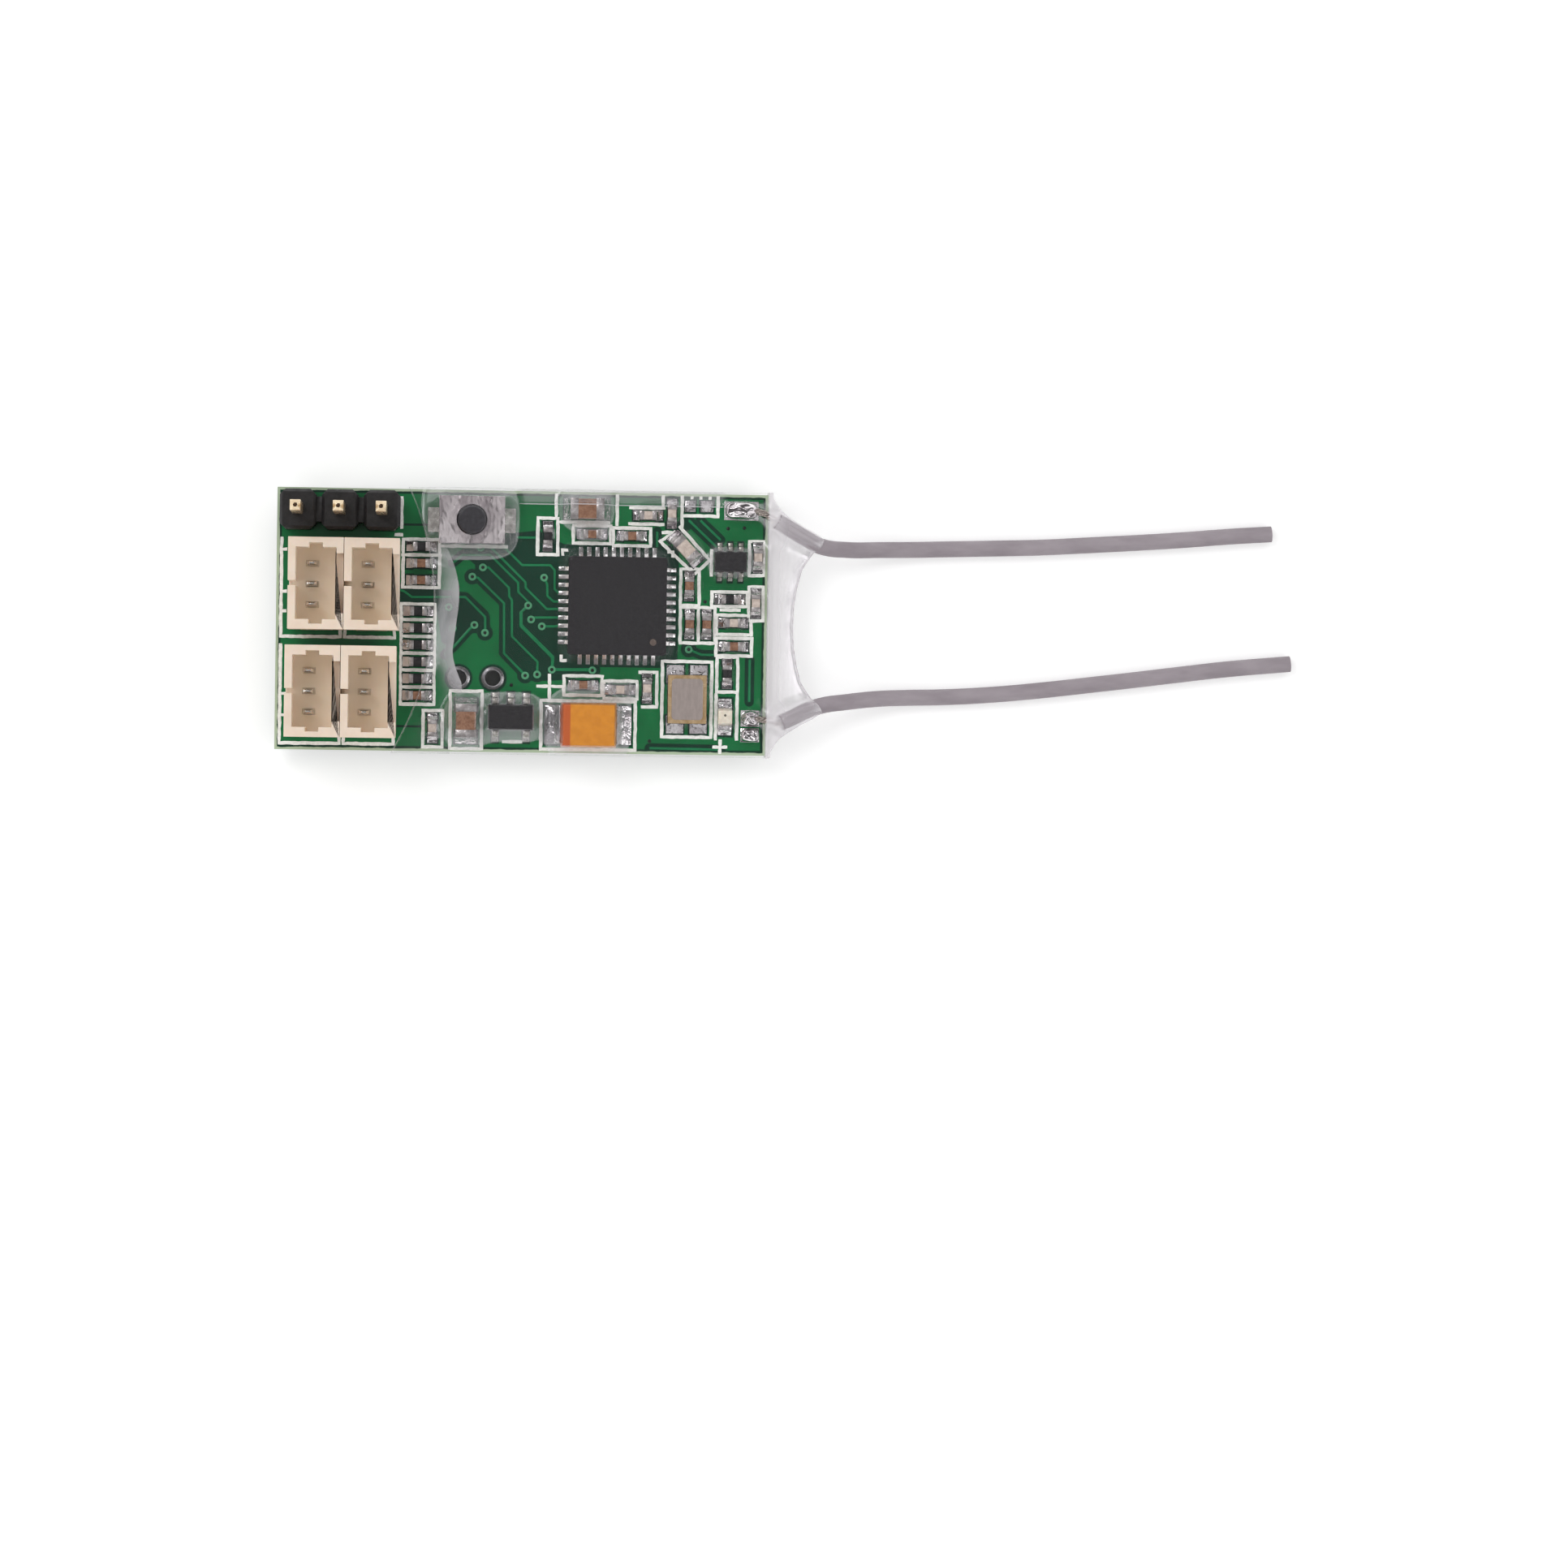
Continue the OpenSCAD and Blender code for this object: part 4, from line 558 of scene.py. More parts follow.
bare_brass = grained("cropped brass", (92, 66, 44), (60, 42, 30), 6, 0.45, 0.2, Metallic=0.6)
shown("header_tip_marks", finished_mesh("tip marks", form), bare_brass)

# Solder
# Bright tin solder: cones round the tails under the board, hollow fillets at the chip parts, and the
# mounds that hold the antennas. It froze with slow ripples, and mirrors the room unevenly.
solder = grained("tin solder", (240, 236, 238), (196, 188, 192), 1.0, 0.08, 0.16, 0.05, Metallic=1.0)
for name in ("header_solder", "socket_solder", "chip_solder", "test_lands", "antenna_lands"):
    eased(name, solder, 0.03)

# Plated holes
# Two open holes for the power wires, each lined with tinned copper that turns out flat on both faces.
HOLE_BORE_R = 0.46
HOLE_LAND_R = 0.71
low, high = (Vector(corner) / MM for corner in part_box("hole_linings"))
form = bmesh.new()
for x in (low.x + HOLE_LAND_R, high.x - HOLE_LAND_R):
    turned(form, [(HOLE_BORE_R, low.z + 0.1), (HOLE_BORE_R, high.z - 0.02), (HOLE_BORE_R + 0.04, high.z + 0.035),
                  (HOLE_BORE_R + 0.1, high.z), (HOLE_LAND_R - 0.04, high.z), (HOLE_LAND_R, high.z - 0.03),
                  (HOLE_LAND_R, low.z + 0.03), (HOLE_LAND_R - 0.03, low.z), (HOLE_BORE_R + 0.03, low.z),
                  (HOLE_BORE_R, low.z + 0.1)], (x, (low.y + high.y) / 2), 40)
bmesh.ops.remove_doubles(form, verts=form.verts, dist=0.001 * MM)
bmesh.ops.recalc_face_normals(form, faces=form.faces)
lining = grained("tinned lining", (188, 186, 188), (140, 138, 142), 2, 0.24, 0.16, 0.006, Metallic=1.0)
shown("hole_rings", finished_mesh("hole rings", form), lining, replaces=["hole_linings"])

# Servo sockets
# Four open shrouds moulded in ivory nylon, each with a keyed end at both ends, a slot in the left
# wall, a low middle stretch in the right wall, and three flat tinned pins.
def combined(tree, operation, first, second, third=None):
    """A maths node on two or three values, each a number or a socket."""
    inputs = {0: first, 1: second}
    if third is not None:
        inputs[2] = third
    return add(tree, "ShaderNodeMath", inputs, operation=operation).outputs[0]


def stepped(tree, value, low, high, first=0.0, last=1.0):
    """A smooth step from first to last as the value goes from low to high."""
    return add(tree, "ShaderNodeMapRange", {"Value": value, "From Min": low, "From Max": high, "To Min": first,
                                            "To Max": last}, interpolation_type="SMOOTHSTEP").outputs[0]


# How far a point lies inside a cavity whose middle, half size and rim height are given. It marks where the sockets'
# painted light goes.
painted_light_cavity_group, given, result = new_group(
    "socket cavity painted light", [("Middle", "NodeSocketVector"), ("Half size", "NodeSocketVector")], [("Inside", "NodeSocketFloat")])
place = add(painted_light_cavity_group, "ShaderNodeTexCoord")
offset = add(painted_light_cavity_group, "ShaderNodeVectorMath", {0: place.outputs["Object"], 1: given["Middle"]},
             operation="SUBTRACT")
spread = add(painted_light_cavity_group, "ShaderNodeVectorMath", {0: offset.outputs[0]}, operation="ABSOLUTE")
past = add(painted_light_cavity_group, "ShaderNodeVectorMath", {0: spread.outputs[0], 1: given["Half size"]}, operation="SUBTRACT")
sides = add(painted_light_cavity_group, "ShaderNodeSeparateXYZ", {0: past.outputs[0]})
height = add(painted_light_cavity_group, "ShaderNodeSeparateXYZ", {0: offset.outputs[0]})
within = stepped(painted_light_cavity_group, combined(painted_light_cavity_group, "MAXIMUM", sides.outputs["X"], sides.outputs["Y"]),
                 -0.1 * MM, 0.1 * MM, 1.0, 0.0)
sunk = stepped(painted_light_cavity_group, height.outputs["Z"], -1.3 * MM, -0.1 * MM, 1.0, 0.0)
painted_light_cavity_group.links.new(combined(painted_light_cavity_group, "MULTIPLY", within, sunk), result.inputs["Inside"])
# Strength of the glow painted into each cavity, which is no lamp
PAINTED_CAVITY_GLOW = 0.045


def nylon_of(name):
    """Ivory nylon for one socket. Its cavity is painted paler and given a faint glow: painted light, standing for the
    light that the thin walls let through and bounce inside.
    """
    nylon_with_painted_cavity_light = grained(f"nylon {name}", (234, 216, 199), (227, 208, 189), 0.8, 0.42, 0.12, 0.01, Subsurface_Weight=0.25,
                    Subsurface_Scale=0.4 * MM, Subsurface_Radius=(1.0, 0.6, 0.35), Emission_Strength=PAINTED_CAVITY_GLOW)
    tree = nylon_with_painted_cavity_light.node_tree
    shader = tree.nodes["Principled BSDF"]
    rim_colour = shader.inputs["Base Color"].links[0].from_socket
    low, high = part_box(name)
    painted_light_mask = add(tree, "ShaderNodeGroup", node_tree=painted_light_cavity_group)
    painted_light_mask.inputs["Middle"].default_value = ((low[0] + high[0]) / 2, (low[1] + high[1]) / 2, high[2])
    painted_light_mask.inputs["Half size"].default_value = ((high[0] - low[0]) / 2 - 0.2 * MM, (high[1] - low[1]) / 2 - 0.2 * MM, 0)
    # Painted light: the cavity gets a paler base colour and an emission colour, and the rim keeps neither
    for socket, rim, painted_lit_tone in (("Base Color", rim_colour, (246, 232, 214)), ("Emission Color", (0, 0, 0, 1), (244, 226, 204))):
        blend = add(tree, "ShaderNodeMix", {"Factor": painted_light_mask.outputs["Inside"], 6: rim, 7: srgb(*painted_lit_tone)},
                    data_type="RGBA")
        tree.links.new(blend.outputs[2], shader.inputs[socket])
    return nylon_with_painted_cavity_light


tin = grained("tin plate", (226, 222, 216), (176, 170, 164), 3, 0.2, 0.22, 0.008, Metallic=1.0)
for k in (1, 2, 3, 4):
    eased(f"servo_socket_{k}", nylon_of(f"servo_socket_{k}"), 0.05, 3)
    eased(f"socket_pins_{k}", tin, 0.03)

# Bind button
# A stamped steel cover is folded over a moulded base and holds the round plunger, which presses a
# snap dome. The terminals stick out at both ends and are soldered down.
steel = grained("stamped steel", (236, 228, 230), (176, 166, 170), 0.55, 0.16, 0.14, 0.09, stretch=(1, 0.6, 1),
                Metallic=1.0)
switch_resin = grained("button base plastic", (46, 43, 46), (34, 32, 35), 3, 0.5, 0.1, 0.006)
plunger_resin = grained("plunger plastic", (54, 52, 58), (44, 42, 47), 5, 0.5, 0.1, 0.006)
eased("switch_cover", steel, 0.04, 3)
eased("switch_base", switch_resin, 0.03)
eased("switch_plunger", plunger_resin, 0.05, 3)
eased("switch_dome", steel, 0.02)
low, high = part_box("switch_dome")
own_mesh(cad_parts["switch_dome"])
eased("switch_terminals", tin, 0.02)

# Chips
# The radio chip is a flat moulded square with its contacts just showing on four sides. The regulator
# and the antenna switch have tapered bodies and formed leads, and the controller sits underneath.
resin = grained("chip resin", (43, 40, 44), (32, 30, 33), 7, 0.46, 0.14, 0.01)
eased("radio_chip", resin, 0.04)
bright_tin = grained("bright contact tin", (255, 252, 252), (222, 216, 218), 1.6, 0.2, 0.16, 0.02, Metallic=1.0)
eased("radio_chip_contacts", bright_tin, 0.06, 3)
for name in ("regulator", "aerial_chip", "controller"):
    eased(f"{name}_body", resin, 0.05)
    eased(f"{name}_leads", tin, 0.03)
low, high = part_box("radio_chip")
chip_top = high[2] / MM
form = bmesh.new()
turned(form, [(0, chip_top - 0.045), (0.21, chip_top - 0.045)], (high[0] / MM - 0.8, low[1] / MM + 0.8), 32)
bmesh.ops.remove_doubles(form, verts=form.verts, dist=0.001 * MM)
bmesh.ops.recalc_face_normals(form, faces=form.faces)
dot = grained("pin one dot", (112, 98, 90), (92, 80, 74), 8, 0.6)
shown("radio_chip_dot", finished_mesh("pin one dot", form), dot)

# Crystal
# A dark ceramic cup closed by a brushed lid, which is seam-welded onto a gold-plated ring.
ceramic = grained("crystal ceramic", (72, 60, 54), (54, 45, 41), 4, 0.6)
ring_gold = grained("ring gold", (226, 196, 156), (204, 170, 126), 3, 0.26, 0.12, 0.004, Metallic=1.0)
lid = grained("brushed lid", (190, 177, 172), (178, 165, 160), 5, 0.36, 0.06, 0.001, stretch=(1, 0.3, 1), Metallic=0.7)
eased("crystal_case", ceramic, 0.04)
eased("crystal_ring", ring_gold, 0.02)
eased("crystal_lid", lid, 0.03)
eased("crystal_lands", solder, 0.02)

# Tantalum capacitor
# A tapered orange moulding between two folded tabs. The darker stripe across its left end marks the
# positive side, and is printed on the moulding.
STRIPE_END = 0.57
low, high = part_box("tantalum_body")
orange = grained("orange resin", (216, 141, 44), (206, 131, 38), 2, 0.42, 0.1, 0.01, Specular_IOR_Level=0.35)
tree = orange.node_tree
shader = tree.nodes["Principled BSDF"]
plain_colour = shader.inputs["Base Color"].links[0].from_socket
place = add(tree, "ShaderNodeTexCoord")
across = add(tree, "ShaderNodeSeparateXYZ", {0: place.outputs["Object"]})
striped = add(tree, "ShaderNodeMapRange", {"Value": across.outputs["X"], "From Min": low[0] + (STRIPE_END + 0.02) * MM,
                                           "From Max": low[0] + (STRIPE_END - 0.02) * MM})
paint = add(tree, "ShaderNodeMix", {"Factor": striped.outputs[0], 6: plain_colour, 7: srgb(190, 92, 44)},
            data_type="RGBA")
tree.links.new(paint.outputs[2], shader.inputs["Base Color"])
eased("tantalum_body", orange, 0.07, 3)
eased("tantalum_terminals", solder, 0.06, 3)

# Status lamp
# A pale moulded block with plated ends. The lamp's tiny die shows through as a dark dot.
pale_resin = grained("lamp resin", (232, 224, 208), (218, 208, 192), 4, 0.4, 0.1, Subsurface_Weight=0.2,
                     Subsurface_Scale=0.3 * MM)
eased("status_lamp_body", pale_resin, 0.04)
eased("status_lamp_terminals", solder, 0.04)
low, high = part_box("status_lamp_body")
form = bmesh.new()
turned(form, [(0, high[2] / MM + 0.004), (0.07, high[2] / MM + 0.004), (0.1, high[2] / MM - 0.01)],
       ((low[0] + high[0]) / 2 / MM, (low[1] + high[1]) / 2 / MM + 0.1), 12)
bmesh.ops.remove_doubles(form, verts=form.verts, dist=0.001 * MM)
bmesh.ops.recalc_face_normals(form, faces=form.faces)
die = grained("lamp die", (120, 110, 96), (86, 78, 70), 8, 0.4)
shown("status_lamp_die", finished_mesh("lamp die", form), die)

# Chip parts
# Resistors are black glaze on white ceramic, capacitors brown or pale fired ceramic, and the
# matching coil is pale. Each has a plated cup on both ends, standing in hollow solder fillets.
glaze = grained("resistor glaze", (42, 40, 43), (28, 26, 29), 4, 0.28, 0.14, 0.006)
brown = grained("brown ceramic", (152, 112, 88), (122, 84, 62), 4, 0.5, 0.14, 0.01)
pale = grained("pale ceramic", (206, 192, 182), (182, 166, 156), 4, 0.5, 0.14, 0.01)
cup_metal = grained("plated cups", (222, 216, 216), (178, 170, 170), 3, 0.24, 0.2, 0.01, Metallic=1.0)
eased("chip_resistors", glaze, 0.03)
eased("brown_capacitors", brown, 0.03)
eased("pale_capacitors", pale, 0.03)
eased("large_capacitors", brown, 0.05)
eased("matching_coil", pale, 0.04)
for name in ("resistor_terminals", "capacitor_terminals", "large_capacitor_terminals", "matching_coil_terminals"):
    eased(name, cup_metal, 0.03)

# Antenna joints
# Each antenna's strands are laid on a bare land and flooded with solder, which stands over them in a
# smooth mound. A second land beside the lower joint carries a square cushion of solder.
UPPER_LAND = (13.35, 7.0)
LOWER_LAND = (14.05, -5.72)
RETURN_LAND = (14.05, -6.75)


def mound(form, at, length, width, height, square, lumps, seed):
    """A closed cushion of solder, flat underneath: square is 1 for an egg and less for squarer."""
    made = bmesh.ops.create_icosphere(form, subdivisions=5, radius=1)
    for vert in made["verts"]:
        x, y, z = (math.copysign(abs(c) ** square, c) for c in vert.co)
        swell = 1 + lumps * noise.noise(Vector((x, y, z)) * 1.7 + Vector((seed, 0, 0)))
        rise = max(z, 0) * height * swell
        vert.co = Vector((at[0] + x * length / 2, at[1] + y * width / 2, TOP_Z + 0.03 + rise)) * MM


form = bmesh.new()
mound(form, UPPER_LAND, 2.0, 1.06, 0.72, 0.62, 0.3, 3)
bmesh.ops.recalc_face_normals(form, faces=form.faces)
joint_solder = grained("joint solder", (240, 236, 238), (196, 188, 192), 0.8, 0.1, 0.1, 0.015, Metallic=1.0)
shown("upper_antenna_mound", finished_mesh("upper mound", form), joint_solder,
      replaces=["upper_antenna_joint"])
form = bmesh.new()
mound(form, LOWER_LAND, 1.1, 0.95, 0.72, 0.8, 0.5, 11)
mound(form, RETURN_LAND, 1.08, 0.8, 0.5, 0.55, 0.35, 19)
bmesh.ops.recalc_face_normals(form, faces=form.faces)
shown("lower_antenna_mound", finished_mesh("lower mound", form), joint_solder,
      replaces=["lower_antenna_joint"])

# Film sleeve
# A tube of clear shrink film, open at the left. Heat has drawn it down until it clings to the board
# and the parts, and it lifts only round tall ones, at its mouth, and at the web that grips the antennas.
FILM_GAP = 0.03
FILM_T = 0.04
STEP = 0.1
PULL = 1.4
WEB_Z = 2.95
WEB_FALL = 0.26
FILM_SIDE = 8.12
MOUTH_LIFT = 0.4
SETTLING_STEPS = 900
# Distance from the middle line, distance past the board's end
RIGHT_EDGE = [(0, 1.6), (1.2, 1.65), (2.4, 1.85), (3.5, 2.15), (4.4, 2.75), (4.9, 3.3), (5.3, 3.5),
              (5.7, 2.9), (6.1, 2.1), (6.6, 1.3), (7, 0.8), (7.4, 0.5), (7.8, 0.3), (9, 0.25)]
# Across the board, and where along it the film first touches down behind its mouth
TOUCH_DOWN = [(-8, -4.3), (-6.5, -4.1), (-5.2, -3.7), (-4.1, -3.6), (-3.4, -3.8), (-2.7, -4.05), (-1.9, -4.19),
              (-1.2, -4.12), (0.2, -3.95), (1.0, -3.86), (1.9, -3.85), (3, -4.05), (4, -4.4), (5, -4.85),
              (6.6, -5.2), (8, -5.4)]
ON_TOP = ["switch_cover", "switch_plunger", "switch_terminals", "radio_chip", "regulator_body", "regulator_leads",
          "aerial_chip_body", "aerial_chip_leads", "crystal_lid", "crystal_case", "tantalum_body",
          "tantalum_terminals", "status_lamp_body", "chip_resistors", "brown_capacitors", "pale_capacitors",
          "large_capacitors", "large_capacitor_terminals", "matching_coil", "upper_antenna_joint",
          "lower_antenna_joint", "upper_antenna_core", "lower_antenna_core", "upper_antenna", "lower_antenna"]
xs = np.arange(-8.7, 19.35, STEP)
ys = np.arange(-8.4, 8.45, STEP)
grid_x, grid_y = np.meshgrid(xs, ys, indexing="ij")
under = bmesh.new()
for name in ON_TOP:
    under.from_mesh(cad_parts[name].data)
parts_tree = BVHTree.FromBMesh(under)
under.free()


def struck(height, direction):
    """Where rays from a height meet the parts, over the whole grid, or nan where they meet none."""
    found = np.full(grid_x.shape, np.nan)
    for i, x in enumerate(xs):
        for j, y in enumerate(ys):
            hit = parts_tree.ray_cast(Vector((x, y, height)) * MM, Vector((0, 0, direction)))[0]
            if hit is not None:
                found[i, j] = hit.z / MM
    return found


def evened(field):
    """Each point of the grid as the mean of its four neighbours."""
    padded = np.pad(field, 1, mode="edge")
    return (padded[2:, 1:-1] + padded[:-2, 1:-1] + padded[1:-1, 2:] + padded[1:-1, :-2]) / 4


def mouth(y):
    """Where the film's left edge lies: drawn in at the middle by the heat."""
    return -5.4 - 0.031 * (y - 0.9) ** 2


def reach(y):
    """Where the film's right edge lies."""
    return BOARD_END + float(np.interp(abs(y), *zip(*RIGHT_EDGE)))


web = WEB_Z - WEB_FALL * (grid_x - BOARD_END)
past_end = grid_x > BOARD_END + 0.1
touch_x = np.interp(grid_y, *zip(*TOUCH_DOWN))
lifted = np.clip((touch_x - grid_x) / (touch_x - mouth(grid_y)), 0, 1.2)
resting = np.where(past_end, web + 0.04, TOP_Z + 0.08 + MOUTH_LIFT * lifted ** 1.6)
resting = np.fmax(resting, struck(20, -1) + FILM_GAP)
top = resting.copy()
in_from_flat = np.hypot(np.maximum(0, np.maximum(-1.5 - grid_x, grid_x - 12)), np.maximum(0, abs(grid_y) - 4.6))
roof = np.where(past_end, web - 0.04, np.minimum(1.24, 0.03 + 0.35 * in_from_flat))
roof = np.where(past_end, np.fmin(roof, struck(-20, 1) - FILM_GAP), roof)
bottom = roof.copy()
HALO_CELLS = 13
sag = PULL * STEP ** 2 / 4
for _ in range(SETTLING_STEPS):
    top = np.maximum(resting, evened(top) - sag)
    bottom = np.minimum(roof, evened(bottom) + sag)
beside = resting.copy()
for axis in (0, 1):
    row = beside.copy()
    for shift in range(-HALO_CELLS, HALO_CELLS + 1):
        beside = np.maximum(beside, np.roll(row, shift, axis))
tall_near = np.clip((beside - TOP_Z - 0.9) / 0.2, 0.2, 1)
air = np.where(past_end | (resting > TOP_Z + MOUTH_LIFT + 0.2), 0, (top - resting) * tall_near)


def sampled(field, x, y):
    """The field's value between its grid points."""
    i = min(max((x - xs[0]) / STEP, 0), len(xs) - 1.001)
    j = min(max((y - ys[0]) / STEP, 0), len(ys) - 1.001)
    a, b = int(i), int(j)
    u, v = i - a, j - b
    near = field[a, b] * (1 - v) + field[a, b + 1] * v
    far = field[a + 1, b] * (1 - v) + field[a + 1, b + 1] * v
    return near * (1 - u) + far * u


AROUND = 250
LENGTHWISE = 180
UPPER_SHARE = 0.7
SIDE_SHARE = 0.02
form = bmesh.new()
bmesh.ops.create_grid(form, x_segments=LENGTHWISE, y_segments=AROUND, size=1)
air_of = form.verts.layers.float.new("air")
rim_of = form.verts.layers.float.new("rim")
for vert in form.verts:
    share = (vert.co.x + 1) / 2
    turn = (vert.co.y + 1) / 2 % 1
    upper = turn < UPPER_SHARE
    across = turn / UPPER_SHARE if upper else (turn - UPPER_SHARE) / (1 - UPPER_SHARE)
    side = across * 2 - 1 if upper else 1 - across * 2
    y = FILM_SIDE * math.copysign(min(1, abs(side) / (1 - SIDE_SHARE)), side)
    corner = max(0, (abs(side) - (1 - SIDE_SHARE)) / SIDE_SHARE)
    x = mouth(y) + (reach(y) - mouth(y)) * share
    high, low = sampled(top, x, y), sampled(bottom, x, y)
    middle = (high + low) / 2
    if share > 0.999 and high - low < 0.35:
        high = low = middle
    z = high if upper else low
    z += (middle - z) * corner
    y += math.copysign(0.04 * math.sin(corner * math.pi / 2), y)
    if upper:
        z += 0.012 * noise.noise(Vector((x * 0.5, y * 0.7, 3)))
        vert[air_of] = sampled(air, x, y)
    vert[rim_of] = min(1, max(0, share - 0.97) / 0.03) if abs(y) < 5.2 else 0
    if share < 0.001 and upper:
        vert[rim_of] = 0.6
    vert.co = Vector((x, y, z)) * MM
bmesh.ops.remove_doubles(form, verts=form.verts, dist=0.004 * MM)
bmesh.ops.recalc_face_normals(form, faces=form.faces)

# Haze of the film by place: the band behind the mouth, the web and collars, and the long creases. The band, and the
# whitening where the film lifts round tall parts, are partly haze and partly a painted highlight of the light that the
# sloping film reflects.
haze_and_highlight_group, given, result = new_group(
    "film haze and painted highlight", [("Air", "NodeSocketFloat")], [("Haze and highlight", "NodeSocketFloat"), ("Web", "NodeSocketFloat")])
place = add(haze_and_highlight_group, "ShaderNodeTexCoord")
axes = add(haze_and_highlight_group, "ShaderNodeSeparateXYZ", {0: place.outputs["Object"]})
half_board = BOARD_EDGE * MM


def traced(tree, value, points, low, high):
    """A float curve through points of value and result, read along the value in metres."""
    share = add(tree, "ShaderNodeMapRange", {"Value": value, "From Min": points[0][0] * MM,
                                             "From Max": points[-1][0] * MM})
    curve = add(tree, "ShaderNodeFloatCurve", {"Value": share.outputs[0]})
    line = curve.mapping.curves[0]
    span = points[-1][0] - points[0][0]
    spots = [((p[0] - points[0][0]) / span, (p[1] - low) / (high - low)) for p in points]
    line.points[0].location, line.points[1].location = spots[0], spots[-1]
    for spot in spots[1:-1]:
        line.points.new(*spot)
    curve.mapping.update()
    return add(tree, "ShaderNodeMapRange", {"Value": curve.outputs[0], "To Min": low * MM,
                                            "To Max": high * MM}).outputs[0]


# The band is brightest where the film touches down and fades behind it: partly haze of the lifted film, partly painted
# highlight
touch = traced(haze_and_highlight_group, axes.outputs["Y"], TOUCH_DOWN, -6, -3)
behind = combined(haze_and_highlight_group, "SUBTRACT", touch, axes.outputs["X"])
lip = stepped(haze_and_highlight_group, behind, 0.0, 0.05 * MM)
fading = stepped(haze_and_highlight_group, behind, 0.0, 1.5 * MM, 0.3, 0.05)
streaks = add(haze_and_highlight_group, "ShaderNodeTexNoise", {"Vector": place.outputs["Object"], "Scale": 0.45 / MM, "Detail": 2})
uneven = stepped(haze_and_highlight_group, streaks.outputs["Fac"], 0.3, 0.7, 0.75, 1.2)
mid_band = combined(haze_and_highlight_group, "MULTIPLY", stepped(haze_and_highlight_group, axes.outputs["Y"], -4.6 * MM, -3.4 * MM, 0.3, 1.0),
                    stepped(haze_and_highlight_group, axes.outputs["Y"], 3.6 * MM, 5.2 * MM, 1.0, 0.25))
band_highlight = combined(haze_and_highlight_group, "MULTIPLY", combined(haze_and_highlight_group, "MULTIPLY", lip, fading),
                combined(haze_and_highlight_group, "MULTIPLY", uneven, mid_band))
# Round tall parts, where the film stands clear, it is whitened the same way: partly haze, partly painted highlight
lift_edge = stepped(haze_and_highlight_group, given["Air"], 0.12, 0.2, 0.0, 1.0)
lift_fade = stepped(haze_and_highlight_group, given["Air"], 0.15, 0.9, 0.13, 0.08)
lifted_haze_and_highlight = combined(haze_and_highlight_group, "MULTIPLY", lift_edge, lift_fade)
most = combined(haze_and_highlight_group, "MAXIMUM", band_highlight, lifted_haze_and_highlight)
crease_y = combined(haze_and_highlight_group, "SUBTRACT", axes.outputs["Y"], 7.22 * MM)
crease_off = combined(haze_and_highlight_group, "ABSOLUTE", crease_y, 0)
crease = stepped(haze_and_highlight_group, crease_off, 0.02 * MM, 0.05 * MM, 0.3, 0.0)
above = stepped(haze_and_highlight_group, crease_y, 0.0, 0.2 * MM, 0.0, 0.13)
crease_on = combined(haze_and_highlight_group, "MULTIPLY",
                     stepped(haze_and_highlight_group, axes.outputs["X"], -0.6 * MM, 0.2 * MM),
                     stepped(haze_and_highlight_group, axes.outputs["X"], 11.8 * MM, 12.6 * MM, 1.0, 0.0))
strip = combined(haze_and_highlight_group, "MULTIPLY", combined(haze_and_highlight_group, "MAXIMUM", crease, above), crease_on)
off_middle = combined(haze_and_highlight_group, "ABSOLUTE", axes.outputs["Y"], 0)
web_near = stepped(haze_and_highlight_group, axes.outputs["X"], 14.95 * MM, 15.1 * MM, 0.0, 1.0)
web_far = stepped(haze_and_highlight_group, axes.outputs["X"], 15.2 * MM, 16.4 * MM, 0.36, 0.12)
at_antennas = stepped(haze_and_highlight_group, off_middle, 4.4 * MM, 5.2 * MM, 0.0, 0.1)
web_haze = combined(haze_and_highlight_group, "MULTIPLY", web_near, combined(haze_and_highlight_group, "ADD", web_far, at_antennas))
total = combined(haze_and_highlight_group, "MAXIMUM", combined(haze_and_highlight_group, "MAXIMUM", most, strip), web_haze)
haze_and_highlight_group.links.new(total, result.inputs["Haze and highlight"])
haze_and_highlight_group.links.new(web_near, result.inputs["Web"])

clear = bpy.data.materials.new("clear film")
clear.use_nodes = True
tree = clear.node_tree
shader = tree.nodes["Principled BSDF"]
rim_value = add(tree, "ShaderNodeAttribute", attribute_name="rim")
air_value = add(tree, "ShaderNodeAttribute", attribute_name="air")
haze_and_highlight = add(tree, "ShaderNodeGroup", node_tree=haze_and_highlight_group)
tree.links.new(air_value.outputs["Fac"], haze_and_highlight.inputs["Air"])
graze = add(tree, "ShaderNodeLayerWeight", {"Blend": 0.5})
steep = combined(tree, "POWER", graze.outputs["Facing"], 2.2)
sheen = combined(tree, "MULTIPLY_ADD", steep, 0.3, 0.004)
cover = combined(tree, "MULTIPLY_ADD", rim_value.outputs["Fac"], 0.3, combined(tree, "ADD", sheen, haze_and_highlight.outputs["Haze and highlight"]))
tone = add(tree, "ShaderNodeMix", {"Factor": haze_and_highlight.outputs["Web"], 6: srgb(240, 238, 242), 7: srgb(250, 246, 250)},
           data_type="RGBA")
tree.links.new(tone.outputs[2], shader.inputs["Base Color"])
tree.links.new(combined(tree, "MINIMUM", cover, 0.92), shader.inputs["Alpha"])
tree.links.new(stepped(tree, haze_and_highlight.outputs["Haze and highlight"], 0.0, 0.25, 0.7, 0.15), shader.inputs["Metallic"])
tree.links.new(stepped(tree, haze_and_highlight.outputs["Haze and highlight"], 0.0, 0.3, 0.08, 0.3), shader.inputs["Roughness"])
film = shown("film_drape", finished_mesh("film drape", form), clear, replaces=["film_sleeve"])
wall = film.modifiers.new("film wall", "SOLIDIFY")
wall.thickness = FILM_T * MM
wall.offset = 0

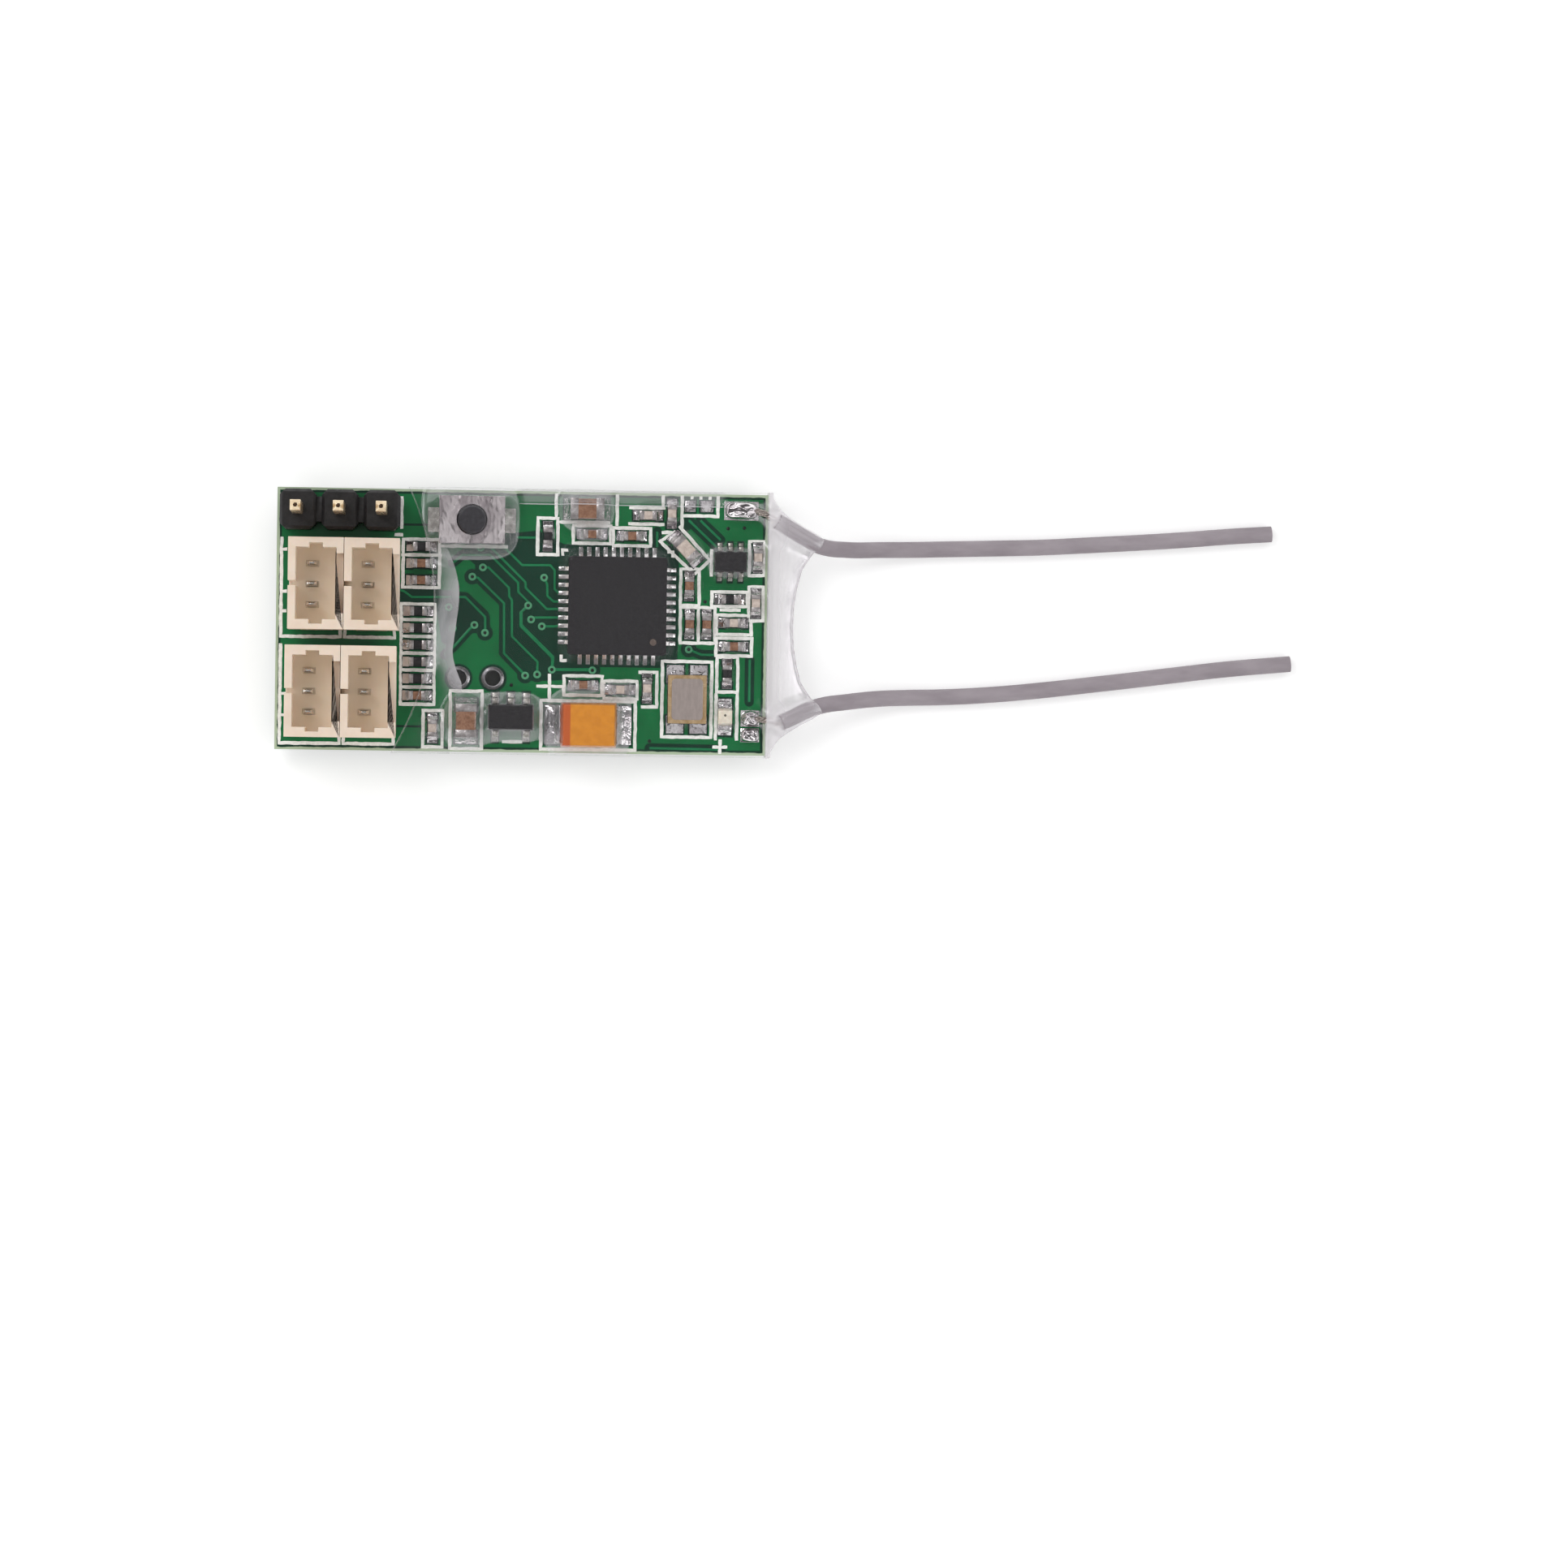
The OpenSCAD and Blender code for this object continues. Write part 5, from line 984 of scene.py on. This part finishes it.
# Table and light
# The receiver lies on a plain white table. Two soft lamps and an even pale room light it, with a
# greyer patch straight above, as a camera and its shade would make. The table is lifted to white.
form = bmesh.new()
bmesh.ops.create_grid(form, x_segments=1, y_segments=1, size=3)
bmesh.ops.translate(form, verts=form.verts, vec=(0, 0, -0.02 * MM))
table_mesh = finished_mesh("table", form, smooth=False)
table_paint = grained("table paint", (238, 238, 238), (237, 237, 237), 0.01, 0.9)
tree = table_paint.node_tree
shader = tree.nodes["Principled BSDF"]
shader.inputs["Specular IOR Level"].default_value = 0.0
rays = add(tree, "ShaderNodeLightPath")
seen = combined(tree, "MAXIMUM", combined(tree, "MAXIMUM", rays.outputs["Is Camera Ray"],
                                          rays.outputs["Is Glossy Ray"]), rays.outputs["Is Transmission Ray"])
shader.inputs["Emission Color"].default_value = (1, 1, 1, 1)
place = add(tree, "ShaderNodeTexCoord")
spot = add(tree, "ShaderNodeVectorMath", {0: place.outputs["Object"]}, operation="ABSOLUTE")
spot = add(tree, "ShaderNodeSeparateXYZ", {0: spot.outputs[0]})
clear_of_board = combined(tree, "MAXIMUM", stepped(tree, spot.outputs["X"], 13.5 * MM, 14.5 * MM),
                          stepped(tree, spot.outputs["Y"], 6.7 * MM, 7.7 * MM))
lift = combined(tree, "MULTIPLY", clear_of_board, 0.3)
tree.links.new(combined(tree, "MULTIPLY", seen, lift), shader.inputs["Emission Strength"])
table = bpy.data.objects.new("table", table_mesh)
table_mesh.materials.append(table_paint)
bpy.context.scene.collection.objects.link(table)

LAMPS = [((-0.16, 0.16, 0.34), 0.16, 0.28), ((0.22, -0.05, 0.30), 0.12, 0.1)]
target = Vector((0.012, 0, 0))
for k, (where, size, watts) in enumerate(LAMPS):
    lamp_data = bpy.data.lights.new(f"lamp {k + 1}", "AREA")
    lamp_data.shape = "SQUARE"
    lamp_data.size = size
    lamp_data.energy = watts
    lamp = bpy.data.objects.new(f"lamp {k + 1}", lamp_data)
    lamp.location = where
    lamp.rotation_mode = "QUATERNION"
    lamp.rotation_quaternion = (target - Vector(where)).to_track_quat("-Z", "Y")
    lamp.visible_camera = False
    bpy.context.scene.collection.objects.link(lamp)

ROOM_RING = 1.38
ROOM_TOP = 0.3
ROOM_LOW = 0.4
room = bpy.data.worlds.new("room")
room.use_nodes = True
tree = room.node_tree
sky = tree.nodes["Background"]
sky.inputs["Color"].default_value = (1, 1, 1, 1)
upwards = add(tree, "ShaderNodeTexCoord")
rise = add(tree, "ShaderNodeSeparateXYZ", {0: upwards.outputs["Generated"]})
patch = stepped(tree, rise.outputs["Z"], 0.66, 0.94, 1.0, ROOM_TOP / ROOM_RING)
low_wall = stepped(tree, rise.outputs["Z"], 0.1, 0.7, ROOM_LOW, ROOM_RING)
sideways = add(tree, "ShaderNodeMapRange", {"Value": rise.outputs["X"], "From Min": -1.0, "From Max": 1.0,
                                            "To Min": 1.2, "To Max": 0.8})
round_up = combined(tree, "MULTIPLY", low_wall, sideways.outputs[0])
lit = combined(tree, "MULTIPLY", patch, round_up)
# What bright metal mirrors: a grey camera, the dark room round it, and the bright walls of the tent
overhead = stepped(tree, rise.outputs["Z"], 0.9, 0.998, 0.0, 0.62)
walls = stepped(tree, rise.outputs["Z"], 0.3, 0.62, 1.25, 0.1)
mirrored = combined(tree, "MULTIPLY", combined(tree, "MAXIMUM", overhead, walls), sideways.outputs[0])
rays = add(tree, "ShaderNodeLightPath")
room_seen = add(tree, "ShaderNodeMix", {0: rays.outputs["Is Glossy Ray"], 2: lit, 3: mirrored}, data_type="FLOAT")
tree.links.new(room_seen.outputs[0], sky.inputs["Strength"])
bpy.context.scene.world = room
bpy.context.scene.view_settings.view_transform = "Standard"
